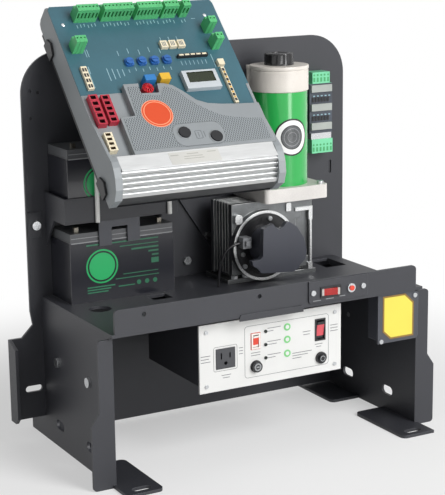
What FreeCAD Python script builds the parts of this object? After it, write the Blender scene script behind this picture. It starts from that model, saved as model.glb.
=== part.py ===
import FreeCAD, Part
import math
import os
import re
import Sketcher

# Sliding gate operator: a folded steel base carries a back plate, a worm gear motor, two sealed
# batteries, a control box on a lift-up hinge and a mains and switch box under the shelf.
# Origin at the centre of the base on the ground, X across the width, -Y to the front, Z up.

doc = FreeCAD.newDocument("SlidingGateMotor")
Vec = FreeCAD.Vector

# Driving sizes in millimetres.
SIZES = {
    # folded steel frame
    "frame_wall": 4, "base_half": 232, "plane_front": 108, "plane_rear": 108, "shelf_top": 200,
    "shelf_overhang": 8, "front_lip": 31, "seat_gap": 0.3,
    "post_reach": 16, "post_foot_reach": 27, "post_step": 90, "top_flange": 18,
    "foot_width": 51, "foot_start": 30, "foot_end": 148, "foot_slot_x": 206, "foot_slot_y": 134,
    "foot_slot_long": 26, "foot_slot_rad": 5.5, "tongue_end": 160, "tongue_top": 43,
    "side_hole_gap": 100, "side_hole_mid": 9, "side_hole_low": 32, "side_hole_high": 120,
    "side_slot_long": 26, "side_slot_rad": 6.5, "side_hole_rad": 4,
    # back plate
    "plate_top": 526, "plate_half": 249, "plate_corner": 55, "plate_heel": 181, "heel_corner": 14,
    "ear_wide": 49, "ear_top": 146, "ear_low": 32, "ear_lip": 21, "ear_slope": 16, "earth_plate": 2,
    "ear_slot_in": 33, "ear_slot_z": 73, "plate_low": 6,
    # gear motor
    "gear_left": 18, "gear_wide": 128, "gear_front": 30, "gear_deep": 46, "gear_low": 212,
    "gear_tall": 99, "fin_deep": 6, "fin_wall": 3, "fin_pitch": 8, "rim_wall": 8,
    "wheel_x": 64, "wheel_z": 251, "worm_x": 109, "motor_y": 55,
    "boss_rad": 49, "boss_reach": 10, "foot_plate": 6,
    "shaft_rad": 10, "run_gap": 0.05, "bearing_rad": 16, "bearing_wall": 7,
    "wheel_teeth": 34, "worm_pitch": 6.2832, "worm_rad": 11, "worm_core": 8.4, "worm_tip": 12.6,
    "worm_shaft": 6, "wheel_wide": 12,
    "flange_half": 48.5, "flange_wide": 50.5, "flange_wall": 19,
    "motor_rad": 39, "motor_long": 129, "tube_wall": 4, "bell_rad": 40.5, "bell_tall": 35,
    "cap_rad": 19.5, "cap_tall": 16, "rotor_rad": 26, "rotor_long": 80, "magnet_wall": 6,
    "cover_rad": 45, "cover_base": 8, "cover_depth": 40, "cover_wall": 3,
    "sprocket_teeth": 18, "chain_pitch": 12.7, "sprocket_y": 122, "sprocket_wall": 7,
    # batteries
    "batt_long": 151, "batt_deep": 65, "batt_tall": 94, "batt_left": -216, "batt_lid": 12,
    "batt_pad": 2, "tray_floor": 311, "tray_lip": 31, "tray_wall": 3,
    # control box, measured along and square to its sloping back
    "box_tilt": 46, "box_wide": 240, "box_long": 275, "box_x": -213, "hinge_back": 33.4,
    "hinge_drop": 9.2,
    "tray_sheet": 3, "pcb_level": 35, "pcb_wall": 2, "cover_level": 46, "box_side": 4,
    "sink_low": -22, "sink_high": 25, "sink_side": 10, "hinge_rad": 3.5, "hinge_pin": 1.6, "hinge_rise": 3.8,
    "knuckle_long": 18, "prop_rad": 3, "button_rad": 8, "button_travel": 2,
    # power box
    "panel_left": -102, "panel_wide": 215, "panel_low": 97, "panel_tall": 91, "panel_y": -96,
    "panel_wall": 3, "case_deep": 150, "case_wall": 2,
}

sheet = doc.addObject("Spreadsheet::Sheet", "sizes")
for row, (alias, value) in enumerate(SIZES.items(), start=1):
    sheet.set("A%d" % row, alias)
    sheet.set("B%d" % row, str(value))
    sheet.setAlias("B%d" % row, alias)
doc.recompute()


probe = doc.addObject("App::FeaturePython", "probe")
probe.addProperty("App::PropertyFloat", "Value")
PLANES = {"XY": "XY_Plane", "XZ": "XZ_Plane", "YZ": "YZ_Plane"}
parts = []


def bound(text):
    # Puts the sheet's name in front of each size that an expression uses.
    return re.sub(r"[a-z]+(?:_[a-z]+)+", lambda word: "sizes." + word.group(0), str(text))


def number(text):
    # What an expression gives with the present sizes.
    probe.setExpression("Value", bound(text))
    probe.recompute()
    return probe.Value


def tie(thing, **links):
    for key, text in links.items():
        thing.setExpression(key.replace("_at_", "."), bound(text))


def place(thing, x=0, y=0, z=0):
    for key, text in (("x", x), ("y", y), ("z", z)):
        thing.setExpression("Placement.Base." + key, bound(text))
    return thing


def name_part(thing, label):
    thing.Label = label
    parts.append(thing)
    return thing


def box(label, x, y, z, long, deep, tall):
    thing = doc.addObject("Part::Box", label)
    tie(thing, Length=long, Width=deep, Height=tall)
    return place(thing, x, y, z)


TURNS = {"x": (Vec(0, 1, 0), 90), "y": (Vec(1, 0, 0), -90), "z": (Vec(0, 0, 1), 0)}


def rod(label, axis, x, y, z, rad, long, sides=0):
    # A round bar from its start point along an axis, or a prism such as a hexagon.
    thing = doc.addObject("Part::Prism" if sides else "Part::Cylinder", label)
    if sides:
        thing.Polygon = sides
        tie(thing, Circumradius=rad, Height=long)
    else:
        tie(thing, Radius=rad, Height=long)
    thing.Placement = FreeCAD.Placement(Vec(), FreeCAD.Rotation(*TURNS[axis]))
    return place(thing, x, y, z)


def cone(label, axis, x, y, z, rad, end, long):
    thing = doc.addObject("Part::Cone", label)
    tie(thing, Radius1=rad, Radius2=end, Height=long)
    thing.Placement = FreeCAD.Placement(Vec(), FreeCAD.Rotation(*TURNS[axis]))
    return place(thing, x, y, z)


def ring(label, axis, x, y, z, rad, hole, long):
    outer = rod(label + "_rim", axis, x, y, z, rad, long)
    inner = rod(label + "_hole", axis, x, y, z, hole, long)
    return cut(label, outer, inner)


def join(label, *pieces):
    thing = doc.addObject("Part::MultiFuse", label)
    thing.Shapes = list(pieces)
    thing.Refine = True
    return thing


def cut(label, base, *tools):
    thing = doc.addObject("Part::Cut", label)
    thing.Base = base
    thing.Tool = tools[0] if len(tools) == 1 else join(label + "_tools", *tools)
    return thing


def group(label, *pieces):
    # Identical or paired pieces that share one name and stay separate solids.
    thing = doc.addObject("Part::Compound", label)
    thing.Links = list(pieces)
    return thing


def new_body(label):
    return doc.addObject("PartDesign::Body", label)


def sketch(body, plane, level, *loops):
    # A sketch on one of the body's own planes, with every corner tied to its expressions.
    name = "%s_sketch%d" % (body.Name, len(body.Group))
    drawing = body.newObject("Sketcher::SketchObject", name)
    origin = [item for item in body.Origin.OriginFeatures if item.Role == PLANES[plane]][0]
    drawing.AttachmentSupport = [(origin, "")]
    drawing.MapMode = "FlatFace"
    sign = "-1 * " if plane == "XZ" else ""
    drawing.setExpression("AttachmentOffset.Base.z", bound("%s(%s)" % (sign, level)))
    for loop in loops:
        if loop[0] == "circle":
            draw_circle(drawing, *loop[1:])
        elif loop[0] == "slot":
            draw_slot(drawing, *loop[1:])
        else:
            draw_corners(drawing, loop)
    return drawing


def pin_point(drawing, item, end, across, up):
    for kind, text in (("DistanceX", across), ("DistanceY", up)):
        limit = Sketcher.Constraint(kind, -1, 1, item, end, number(text))
        drawing.setExpression("Constraints[%d]" % drawing.addConstraint(limit), bound(text))


def draw_corners(drawing, corners):
    spots = [Vec(number(across), number(up), 0) for across, up in corners]
    first = drawing.GeometryCount
    count = len(spots)
    for item in range(count):
        drawing.addGeometry(Part.LineSegment(spots[item], spots[(item + 1) % count]))
    for item in range(count):
        after = first + (item + 1) % count
        drawing.addConstraint(Sketcher.Constraint("Coincident", first + item, 2, after, 1))
    for item, (across, up) in enumerate(corners):
        pin_point(drawing, first + item, 1, across, up)


def draw_circle(drawing, across, up, rad):
    middle = Vec(number(across), number(up), 0)
    item = drawing.addGeometry(Part.Circle(middle, Vec(0, 0, 1), number(rad)))
    pin_point(drawing, item, 3, across, up)
    limit = drawing.addConstraint(Sketcher.Constraint("Radius", item, number(rad)))
    drawing.setExpression("Constraints[%d]" % limit, bound(rad))


def draw_slot(drawing, across, up, long, rad):
    # An obround along the sketch's first axis: two half circles and two straights.
    half = "((%s) / 2 - (%s))" % (long, rad)
    left, right = "(%s) - %s" % (across, half), "(%s) + %s" % (across, half)
    reach, size = number(half), number(rad)
    here = Vec(number(across), number(up), 0)
    first = drawing.GeometryCount
    up_dir = Vec(0, 0, 1)
    ends = (here - Vec(reach, 0, 0), here + Vec(reach, 0, 0))
    quarter = 1.5707963267948966
    drawing.addGeometry(Part.ArcOfCircle(Part.Circle(ends[0], up_dir, size), quarter, 3 * quarter))
    drawing.addGeometry(Part.ArcOfCircle(Part.Circle(ends[1], up_dir, size), -quarter, quarter))
    drawing.addGeometry(Part.LineSegment(ends[0] - Vec(0, size, 0), ends[1] - Vec(0, size, 0)))
    drawing.addGeometry(Part.LineSegment(ends[1] + Vec(0, size, 0), ends[0] + Vec(0, size, 0)))
    tangents = ((0, 2, 2, 1), (2, 2, 1, 1), (1, 2, 3, 1), (3, 2, 0, 1))
    for one, end, other, start in tangents:
        link = Sketcher.Constraint("Tangent", first + one, end, first + other, start)
        drawing.addConstraint(link)
    pin_point(drawing, first, 3, left, up)
    middle = Sketcher.Constraint("DistanceX", -1, 1, first + 1, 3, number(right))
    drawing.setExpression("Constraints[%d]" % drawing.addConstraint(middle), bound(right))
    limit = drawing.addConstraint(Sketcher.Constraint("Radius", first, size))
    drawing.setExpression("Constraints[%d]" % limit, bound(rad))


def feature(body, kind, drawing, **links):
    thing = body.newObject("PartDesign::" + kind, "%s_%s" % (body.Name, kind.lower()))
    thing.Profile = drawing
    tie(thing, **links)
    return thing


def pad(body, plane, level, thick, *loops):
    # Sheets in XZ grow toward the front from their level, the others toward plus.
    return feature(body, "Pad", sketch(body, plane, level, *loops), Length=thick)


def pocket(body, plane, level, depth, *loops):
    # Cuts the way a pad on the same plane would grow.
    thing = feature(body, "Pocket", sketch(body, plane, level, *loops), Length=depth)
    thing.Reversed = True
    return thing


def turned(body, plane, axis, *loops):
    thing = feature(body, "Revolution", sketch(body, plane, 0, *loops))
    thing.ReferenceAxis = (thing.Profile[0], [axis])
    thing.Angle = 360
    return thing


def soften(body, rad, *spots):
    # Rounds the edges whose middle lies at the given points.
    doc.recompute()
    base = body.Tip
    names = []
    for x, y, z in spots:
        spot = Vec(number(x), number(y), number(z))
        edges = base.Shape.Edges
        gaps = [(edge.CenterOfMass.distanceToPoint(spot), i) for i, edge in enumerate(edges)]
        names.append("Edge%d" % (min(gaps)[1] + 1))
    thing = body.newObject("PartDesign::Fillet", body.Name + "_round")
    thing.Base = (base, names)
    tie(thing, Radius=rad)
    return thing


def repeat(body, item, axis, reach, count):
    # Steps a feature evenly along one axis of the body.
    origin = [thing for thing in body.Origin.OriginFeatures if thing.Role == axis][0]
    thing = body.newObject("PartDesign::LinearPattern", body.Name + "_row")
    thing.Originals = [item]
    thing.Direction = (origin, [""])
    tie(thing, Length=reach)
    thing.Occurrences = count
    body.Tip = thing
    return thing


def around(body, item, axis, count):
    origin = [thing for thing in body.Origin.OriginFeatures if thing.Role == axis][0]
    thing = body.newObject("PartDesign::PolarPattern", body.Name + "_ring")
    thing.Originals = [item]
    thing.Axis = (origin, [""])
    thing.Angle = 360
    tie(thing, Occurrences=count)
    body.Tip = thing
    return thing


def rect(left, low, right, high):
    return ((left, low), (right, low), (right, high), (left, high))


# Folded base: two side panels with their feet and post flanges, and the shelf across them.
under_shelf = "(shelf_top - frame_wall)"


def side_panel(label, side):
    panel = new_body(label)
    web_level = "-base_half" if side < 0 else "base_half - frame_wall"
    inner = "%d * (base_half - frame_wall)" % side
    outline = (("-plane_front", 0), ("tongue_end", 0), ("tongue_end", "tongue_top - 10"),
               ("tongue_end - 10", "tongue_top"), ("plane_rear", "tongue_top"),
               ("plane_rear", under_shelf), ("-plane_front", under_shelf))
    front_hole = "side_hole_mid - side_hole_gap / 2"
    rear_hole = "side_hole_mid + side_hole_gap / 2"
    pad(panel, "YZ", web_level, "frame_wall", outline,
        ("slot", front_hole, "side_hole_low", "side_slot_long", "side_slot_rad"),
        ("slot", rear_hole, "side_hole_low", "side_slot_long", "side_slot_rad"),
        ("circle", front_hole, "side_hole_high", "side_hole_rad"),
        ("circle", rear_hole, "side_hole_high", "side_hole_rad"))
    low = "%d * (base_half + post_foot_reach)" % side
    high = "%d * (base_half + post_reach)" % side
    pad(panel, "XZ", "frame_wall - plane_front", "frame_wall",
        ((inner, 0), (low, 0), (low, "post_step - 6"), (high, "post_step + 10"),
         (high, "%s - 3" % under_shelf), (inner, "%s - 3" % under_shelf)))
    face = "frame_wall / 2 - plane_front"
    soften(panel, 5, (low, face, 0), (high, face, "%s - 3" % under_shelf))
    edge = "%d * base_half" % side
    toe = "%d * (base_half - foot_width)" % side
    for end in (-1, 1):
        near = "%d * foot_start" % end
        far = "%d * foot_end" % end
        pad(panel, "XY", 0, "frame_wall",
            ((edge, near), (edge, far), (toe, far), (toe, near)),
            ("slot", "%d * foot_slot_x" % side, "%d * foot_slot_y" % end,
             "foot_slot_long", "foot_slot_rad"))
        soften(panel, 8, (toe, near, "frame_wall / 2"), (toe, far, "frame_wall / 2"))
    lip = "%d * (base_half - top_flange)" % side
    pad(panel, "XY", "%s - frame_wall" % under_shelf, "frame_wall",
        ((edge, "10 - plane_front"), (lip, "10 - plane_front"),
         (lip, "plane_rear - 10"), (edge, "plane_rear - 10")))
    pad(panel, "XZ", "plane_rear", "frame_wall",
        ((edge, "tongue_top + 8"), (lip, "tongue_top + 8"),
         (lip, "%s - 12" % under_shelf), (edge, "%s - 12" % under_shelf)))
    return name_part(panel, label)


side_panel("left_side_panel", -1)
side_panel("right_side_panel", 1)

shelf_front = "(-plane_front - shelf_overhang)"
shelf = new_body("shelf")
pad(shelf, "XY", under_shelf, "frame_wall",
    rect("-base_half", shelf_front, "base_half", "plane_rear"),
    ("circle", -192, 7, 15), rect(-112, 10, -84, 34), rect(180, 44, 214, 94))
pad(shelf, "XZ", "%s + frame_wall" % shelf_front, "frame_wall",
    rect("4 - base_half", under_shelf, "base_half - 11", "shelf_top + front_lip"),
    ("circle", -188, "shelf_top + 21", 3), ("circle", -24, "shelf_top + 21", 3),
    rect(66, "shelf_top + 7", 98, "shelf_top + 21"),
    ("circle", 113.5, "shelf_top + 15", 4))
lip_top = "shelf_top + front_lip"
soften(shelf, 6, ("4 - base_half", "%s + frame_wall / 2" % shelf_front, lip_top),
       ("base_half - 11", "%s + frame_wall / 2" % shelf_front, lip_top))
name_part(shelf, "shelf")

# Back plate: one sheet from the ground to the control box, with an ear at each side.
web_out = "(base_half + seat_gap)"
web_in = "(base_half - frame_wall - seat_gap)"
ear_reach = "(base_half + ear_wide)"
ear_slot = "(base_half + ear_wide - ear_slot_in)"
half_outline = ((web_in, "plate_low"), (web_in, "tongue_top + 1"), (web_out, "tongue_top + 1"),
                (web_out, "ear_low"), (ear_reach, "ear_low"), (ear_reach, "ear_top"),
                ("%s - 19" % ear_reach, "ear_top"), ("plate_half - 3", "ear_top + ear_slope"),
                ("plate_half", "plate_heel"), ("plate_half", "plate_top"))
left_half = [("-(%s)" % across, up) for across, up in half_outline]
plate_back = "plane_rear + frame_wall"
plate = new_body("back_plate")
pad(plate, "XZ", plate_back, "frame_wall", list(half_outline) + left_half[::-1],
    ("circle", "wheel_x", "wheel_z", "shaft_rad + 10"),
    ("slot", ear_slot, "ear_slot_z", 24, 4.5), ("slot", "-1 * " + ear_slot, "ear_slot_z", 24, 4.5))
pocket(plate, "XZ", "plane_rear + 2.5", 2.5, rect(223, 324, 229, 343), ("circle", -237, 476, 2.5),
       ("circle", -237, 440, 2.5), ("circle", -226, 474, 2.5))
pad(plate, "XZ", "plane_rear", "earth_plate", rect(-248, 282, -229, 316))
middle = "plane_rear + frame_wall / 2"
soften(plate, "plate_corner", ("-plate_half", middle, "plate_top"),
       ("plate_half", middle, "plate_top"))
for side in (-1, 1):
    outer = "-1 * " + ear_reach if side < 0 else "%s - frame_wall" % ear_reach
    pad(plate, "YZ", outer, "frame_wall",
        (("plane_rear - ear_lip", "ear_low + 8"), ("plane_rear - ear_lip + 8", "ear_low"),
         (plate_back, "ear_low"), (plate_back, "ear_top"), ("plane_rear", "ear_top"),
         ("plane_rear - ear_lip", "ear_top - 9")))
name_part(plate, "back_plate")

# Sealed batteries: one on the shelf, one on a tray above it, both against the back plate.
batt_y = "(plane_rear - seat_gap - batt_deep)"


def battery(label, low):
    case_tall = "(batt_tall - batt_lid)"
    case = box(label + "_case", "batt_left", batt_y, low, "batt_long", "batt_deep", case_tall)
    lid = box(label + "_lid", "batt_left + 1", "%s + 1" % batt_y, "%s + %s" % (low, case_tall),
              "batt_long - 2", "batt_deep - 2", "batt_lid")
    return name_part(join(label, case, lid), label)


battery("lower_battery", "shelf_top")
battery("upper_battery", "tray_floor")
tabs = []
for low in ("shelf_top", "tray_floor"):
    for across in ("batt_left + 12", "batt_left + batt_long - 18"):
        tabs.append(box("tab", across, "%s + 12" % batt_y, "%s + batt_tall" % low, 6, 5, 6))
name_part(group("battery_terminals", *tabs), "battery_terminals")

tray_left = "(batt_left - 7)"
tray_right = "(batt_left + batt_long + 5)"
tray_front = "(%s - seat_gap)" % batt_y
tray_under = "(tray_floor - tray_wall)"
tray = new_body("battery_tray")
pad(tray, "XY", tray_under, "tray_wall",
    rect(tray_left, "%s - tray_wall" % tray_front, tray_right, "plane_rear"))
pad(tray, "XZ", tray_front, "tray_wall",
    rect(tray_left, tray_under, tray_right, "tray_floor + tray_lip"))
pad(tray, "XZ", "plane_rear", "seat_gap", rect(tray_left, tray_under, tray_right, "tray_floor"))
for level in (tray_left, "%s - tray_wall" % tray_right):
    pad(tray, "YZ", level, "tray_wall",
        (("%s - tray_wall" % tray_front, "tray_floor + tray_lip"),
         ("%s - tray_wall" % tray_front, tray_under), ("plane_rear - 30", tray_under),
         ("plane_rear", "%s - 40" % tray_under), ("plane_rear", "tray_floor + tray_lip")))
name_part(tray, "battery_tray")

clamp = new_body("battery_clamp")
pad(clamp, "XZ", tray_front, 2.5,
    ((-175, "tray_floor - 36"), (-157, "tray_floor - 36"), (-157, "tray_floor - 12"),
     (-134, "tray_floor - 12"), (-134, "tray_floor - 34"), (-116, "tray_floor - 34"),
     (-116, tray_under), (-175, tray_under)))
name_part(clamp, "battery_clamp")

# Gear case: a cast box with cooling fins round it, open at the back for the wheel and at the
# top for the worm, closed by a rear cover that carries the output bearing.
gear_right = "(gear_left + gear_wide)"
gear_top = "(gear_low + gear_tall)"
gear_back = "(gear_front + gear_deep)"
case = new_body("gearbox_housing")
pad(case, "XZ", gear_back, "gear_deep",
    rect("gear_left + fin_deep", "gear_low + fin_deep",
         "%s - fin_deep" % gear_right, "%s - fin_deep" % gear_top))
pad(case, "XZ", "gear_front + rim_wall", "rim_wall",
    rect("gear_left", "gear_low", gear_right, gear_top))
fin = pad(case, "XZ", "%s - 4 * fin_pitch" % gear_back, "fin_wall",
          rect("gear_left", "gear_low", gear_right, gear_top))
repeat(case, fin, "Y_Axis", "fin_pitch * 4", 5)
pad(case, "XZ", "gear_front", "boss_reach", ("circle", "wheel_x", "wheel_z", "boss_rad"))
pocket(case, "XZ", "gear_front", "boss_reach", ("circle", "wheel_x", "wheel_z", "cover_rad"))
pocket(case, "XZ", "gear_front + 4", 4,
       ((120, "gear_low + 14"), ("%s - 5" % gear_right, "gear_low + 14"),
        ("%s - 5" % gear_right, "%s - 18" % gear_top), (128, "%s - 18" % gear_top),
        (128, "%s - 30" % gear_top), (120, "%s - 30" % gear_top)))
pocket(case, "XZ", gear_back, "gear_deep - 10", ("circle", "wheel_x", "wheel_z", 38))
pocket(case, "XZ", gear_back, "gear_deep - 3",
       ("circle", "wheel_x", "wheel_z", "bearing_rad"))
pocket(case, "XZ", gear_back, "gear_deep", ("circle", "wheel_x", "wheel_z", "shaft_rad + 1"))
pocket(case, "XY", "%s - 89" % gear_top, 89, ("circle", "worm_x", "motor_y", 15))
name_part(case, "gearbox_housing")

cover = new_body("gearbox_cover")
cover_back = "(%s + 8)" % gear_back
pad(cover, "XZ", cover_back, 8,
    rect("gear_left - 3", "gear_low - 3", "%s + 3" % gear_right, "%s" % gear_top))
neck = "(plane_rear - frame_wall - (%s))" % cover_back
pad(cover, "XZ", "plane_rear - frame_wall", neck, ("circle", "wheel_x", "wheel_z", 26))
pocket(cover, "XZ", "%s + bearing_wall" % gear_back, "bearing_wall",
       ("circle", "wheel_x", "wheel_z", "bearing_rad"))
pocket(cover, "XZ", "plane_rear - frame_wall", "%s + 8" % neck,
       ("circle", "wheel_x", "wheel_z", "shaft_rad + 1"))
name_part(cover, "gearbox_cover")

foot = new_body("gearbox_foot")
pad(foot, "XY", "shelf_top", "foot_plate",
    rect("gear_left - 6", "gear_front + 2", "%s + 8" % gear_right, "plane_rear - 12"),
    ("circle", "gear_left + 2", "plane_rear - 20", 3.5))
pad(foot, "XY", "shelf_top + foot_plate", "gear_low - shelf_top - foot_plate",
    rect("gear_left + 8", "gear_front + 11", "%s - 8" % gear_right, "gear_front + gear_deep"))
name_part(foot, "gearbox_foot")

mount = new_body("gear_mount_plate")
pad(mount, "XZ", "plane_rear", "frame_wall",
    ((-30, "%s + 9" % gear_top), ("%s + 20" % gear_right, "%s + 9" % gear_top),
     ("%s + 20" % gear_right, "shelf_top + 4"), (42, "shelf_top + 4"), (27, "shelf_top + 34")),
    ("circle", "wheel_x", "wheel_z", "shaft_rad + 10"))
name_part(mount, "gear_mount_plate")

# Motor: square flange on the gear case, steel tube, end bell and brake cap on one axis.
flange_top = "(%s + flange_wall)" % gear_top
tube_top = "(%s + motor_long)" % flange_top
bell_top = "(%s + bell_tall)" % tube_top
flange = new_body("motor_flange")
pad(flange, "XY", gear_top, "flange_wall",
    rect("worm_x - flange_wide", "motor_y - flange_half",
         "worm_x + flange_wide", "motor_y + flange_half"))
mid = "%s + flange_wall / 2" % gear_top
soften(flange, 7, *[("worm_x %s flange_wide" % one, "motor_y %s flange_half" % two, mid)
                    for one in "-+" for two in "-+"])
pocket(flange, "XY", gear_top, "flange_wall", ("circle", "worm_x", "motor_y", 15))
pocket(flange, "XY", "%s + 10" % gear_top, "flange_wall - 10",
       ("circle", "worm_x", "motor_y", "rotor_rad"))
name_part(flange, "motor_flange")

tube_hole = "(motor_rad - tube_wall)"
name_part(ring("motor_tube", "z", "worm_x", "motor_y", flange_top, "motor_rad", tube_hole,
               "motor_long"), "motor_tube")
magnet_low = "(%s + 18)" % flange_top
magnet = ring("magnet_ring", "z", "worm_x", "motor_y", magnet_low, tube_hole,
              "%s - magnet_wall" % tube_hole, "rotor_long")
gap = box("magnet_gap", "worm_x - motor_rad", "motor_y - 7", magnet_low, "motor_rad * 2", 14,
          "rotor_long")
name_part(cut("motor_magnets", magnet, gap), "motor_magnets")


def on_motor_axis(body, low):
    return place(body, "worm_x", "motor_y", low)


bell = new_body("motor_end_bell")
turned(bell, "XZ", "V_Axis",
       (("motor_rad - 6", 0), ("bell_rad", 0), ("bell_rad", "bell_tall - 8"),
        ("bell_rad - 2.5", "bell_tall - 3"), ("bell_rad - 8", "bell_tall"),
        (7, "bell_tall"), (7, "bell_tall - 4"), (15, "bell_tall - 4"), (15, "bell_tall - 14"),
        (22, "bell_tall - 14"), (22, "bell_tall - 6"), ("motor_rad - 6", "bell_tall - 8")))
pad(bell, "XY", 6, "bell_tall - 12",
    rect("-1 * (bell_rad + 4)", -14, "3 - bell_rad", 2))
pad(bell, "XY", 8, "bell_tall - 20", rect("bell_rad - 3", -4, "bell_rad + 2", 4))
on_motor_axis(bell, tube_top)
name_part(bell, "motor_end_bell")

cap = new_body("motor_cap")
turned(cap, "XZ", "V_Axis",
       (("cap_rad - 2", 0), ("cap_rad", 0), ("cap_rad", "cap_tall - 2"),
        ("cap_rad - 2", "cap_tall"), (0, "cap_tall"), (0, "cap_tall - 2.5"),
        ("cap_rad - 2", "cap_tall - 2.5")))
on_motor_axis(cap, bell_top)
name_part(cap, "motor_cap")

# Armature with its worm, and the bearings that carry both shafts.
rotor_low = "(%s + 18)" % flange_top
core = ring("rotor_core", "z", "worm_x", "motor_y", rotor_low, "rotor_rad", "worm_shaft",
            "rotor_long")
coils = [ring("coil", "z", "worm_x", "motor_y", low, "rotor_rad - 5", "worm_shaft", 9)
         for low in ("%s - 9" % rotor_low, "%s + rotor_long" % rotor_low)]
brush_ring = ring("commutator", "z", "worm_x", "motor_y",
                  "%s + rotor_long + 9" % rotor_low, 14, "worm_shaft", 14)
name_part(join("armature", core, brush_ring, *coils), "armature")

worm_run = "(worm_pitch * 4.5)"
worm = new_body("worm_shaft")
shaft_low = "(%s - 89)" % gear_top
shaft_top = "(%s - 4)" % bell_top
turned(worm, "XZ", "V_Axis",
       ((0, "seat_gap"), ("worm_shaft", "seat_gap"), ("worm_shaft", 11),
        ("worm_core", 11), ("worm_core", "wheel_z - %s + 18" % shaft_low),
        ("worm_shaft", "wheel_z - %s + 18" % shaft_low),
        ("worm_shaft", "%s - %s" % (shaft_top, shaft_low)),
        (0, "%s - %s" % (shaft_top, shaft_low))))
start = "(wheel_z - %s - 2.5 * worm_pitch)" % shaft_low
thread = sketch(worm, "XZ", 0,
                (("worm_core - 0.6", "%s - 1.85" % start), ("worm_tip", "%s - 0.75" % start),
                 ("worm_tip", "%s + 0.75" % start), ("worm_core - 0.6", "%s + 1.85" % start)))
coil = feature(worm, "AdditiveHelix", thread, Pitch="worm_pitch", Height=worm_run)
coil.ReferenceAxis = (thread, ["V_Axis"])
coil.Mode = 0
on_motor_axis(worm, shaft_low)
name_part(worm, "worm_shaft")

wheel = new_body("worm_wheel")
wheel_rad = "(wheel_teeth * worm_pitch / 6.283185307)"
pad(wheel, "XZ", "wheel_wide / 2", "wheel_wide",
    ("circle", 0, 0, "%s + 1.6" % wheel_rad))
pad(wheel, "XZ", 14, 28, ("circle", 0, 0, 15))
pocket(wheel, "XZ", 14, 28, ("circle", 0, 0, "shaft_rad"))
tooth = pocket(wheel, "XZ", "wheel_wide / 2", "wheel_wide",
               (("%s + 3" % wheel_rad, -2.6), ("%s + 3" % wheel_rad, 2.6),
                ("%s - 2.8" % wheel_rad, 1.5), ("%s - 2.8" % wheel_rad, -1.5)))
around(wheel, tooth, "Y_Axis", "wheel_teeth")
place(wheel, "wheel_x", "motor_y", "wheel_z")
name_part(wheel, "worm_wheel")

bore = "(shaft_rad + run_gap)"
pin_bore = "(worm_shaft + run_gap)"
bearings = [
    ring("front_bearing", "y", "wheel_x", "gear_front + 3", "wheel_z", "bearing_rad", bore,
         "bearing_wall"),
    ring("rear_bearing", "y", "wheel_x", gear_back, "wheel_z", "bearing_rad", bore,
         "bearing_wall"),
    ring("low_bearing", "z", "worm_x", "motor_y", shaft_low, 15, pin_bore, 7),
    ring("mid_bearing", "z", "worm_x", "motor_y", "%s + 3" % gear_top, 15, pin_bore, 7),
    ring("top_bearing", "z", "worm_x", "motor_y", "%s - 12" % bell_top, 15, pin_bore, 7)]
name_part(group("bearings", *bearings), "bearings")

output = new_body("output_shaft")
turned(output, "XZ", "V_Axis",
       ((0, 0), (6, 0), (6, 26), ("shaft_rad", 26), ("shaft_rad", 150), ("shaft_rad - 2", 152),
        (0, 152)))
output.Placement = FreeCAD.Placement(Vec(), FreeCAD.Rotation(Vec(1, 0, 0), -90))
place(output, "wheel_x", "gear_front - 40", "wheel_z")
name_part(output, "output_shaft")

# Drive sprocket for the gate chain, behind the back plate.
teeth = new_body("drive_sprocket")
pitch_rad = "(chain_pitch / (2 * sin(180 / sprocket_teeth)))"
disc = pad(teeth, "XZ", "sprocket_wall", "sprocket_wall",
           ("circle", 0, 0, "%s + 3.9" % pitch_rad))
pad(teeth, "XZ", "sprocket_wall + 5", "sprocket_wall + 10", ("circle", 0, 0, 21))
pocket(teeth, "XZ", "sprocket_wall + 5", "sprocket_wall + 10", ("circle", 0, 0, "shaft_rad"))
pocket(teeth, "XZ", "sprocket_wall", "sprocket_wall",
       *[("circle", "28 * cos(%d)" % turn, "28 * sin(%d)" % turn, 3.5)
         for turn in range(0, 360, 60)])
seat = pocket(teeth, "XZ", "sprocket_wall", "sprocket_wall", ("circle", pitch_rad, 0, 4.1))
around(teeth, seat, "Y_Axis", "sprocket_teeth")
place(teeth, "wheel_x", "sprocket_y", "wheel_z")
name_part(teeth, "drive_sprocket")

# Limit switch unit on the front of the gear case: a round base set in the boss, a deep cover
# and the slotted disc that turns with the output shaft inside it.
base = new_body("limit_base")
pad(base, "XZ", "gear_front", "cover_base", ("circle", "wheel_x", "wheel_z", "cover_rad - 0.5"),
    ("circle", "wheel_x", "wheel_z", "shaft_rad + 2"))
name_part(base, "limit_base")

cover_front = "(gear_front - cover_base - cover_depth)"
lobes = [(-24, 32), (-9, 38), (-6, 34), (1, 29), (7, 32), (12, 38), (17, 38), (29, 30), (40, 13),
         (44, -4), (42, -17), (33, -24), (31, -29), (22, -32), (-19, -29), (-28, -28),
         (-33, -21), (-40, -17), (-42, -10), (-29, -9), (-25, -5)]
lid = new_body("limit_cover")
pad(lid, "XZ", "%s + 8" % cover_front, 8,
    [("wheel_x + %d" % across, "wheel_z + %d" % up) for across, up in lobes])
pad(lid, "XZ", "gear_front - cover_base", "cover_depth - 8",
    ("circle", "wheel_x + 3", "wheel_z + 1", 27))
pocket(lid, "XZ", "gear_front - cover_base", "cover_depth - cover_wall",
       ("circle", "wheel_x + 3", "wheel_z + 1", 23.5))
name_part(lid, "limit_cover")

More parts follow.
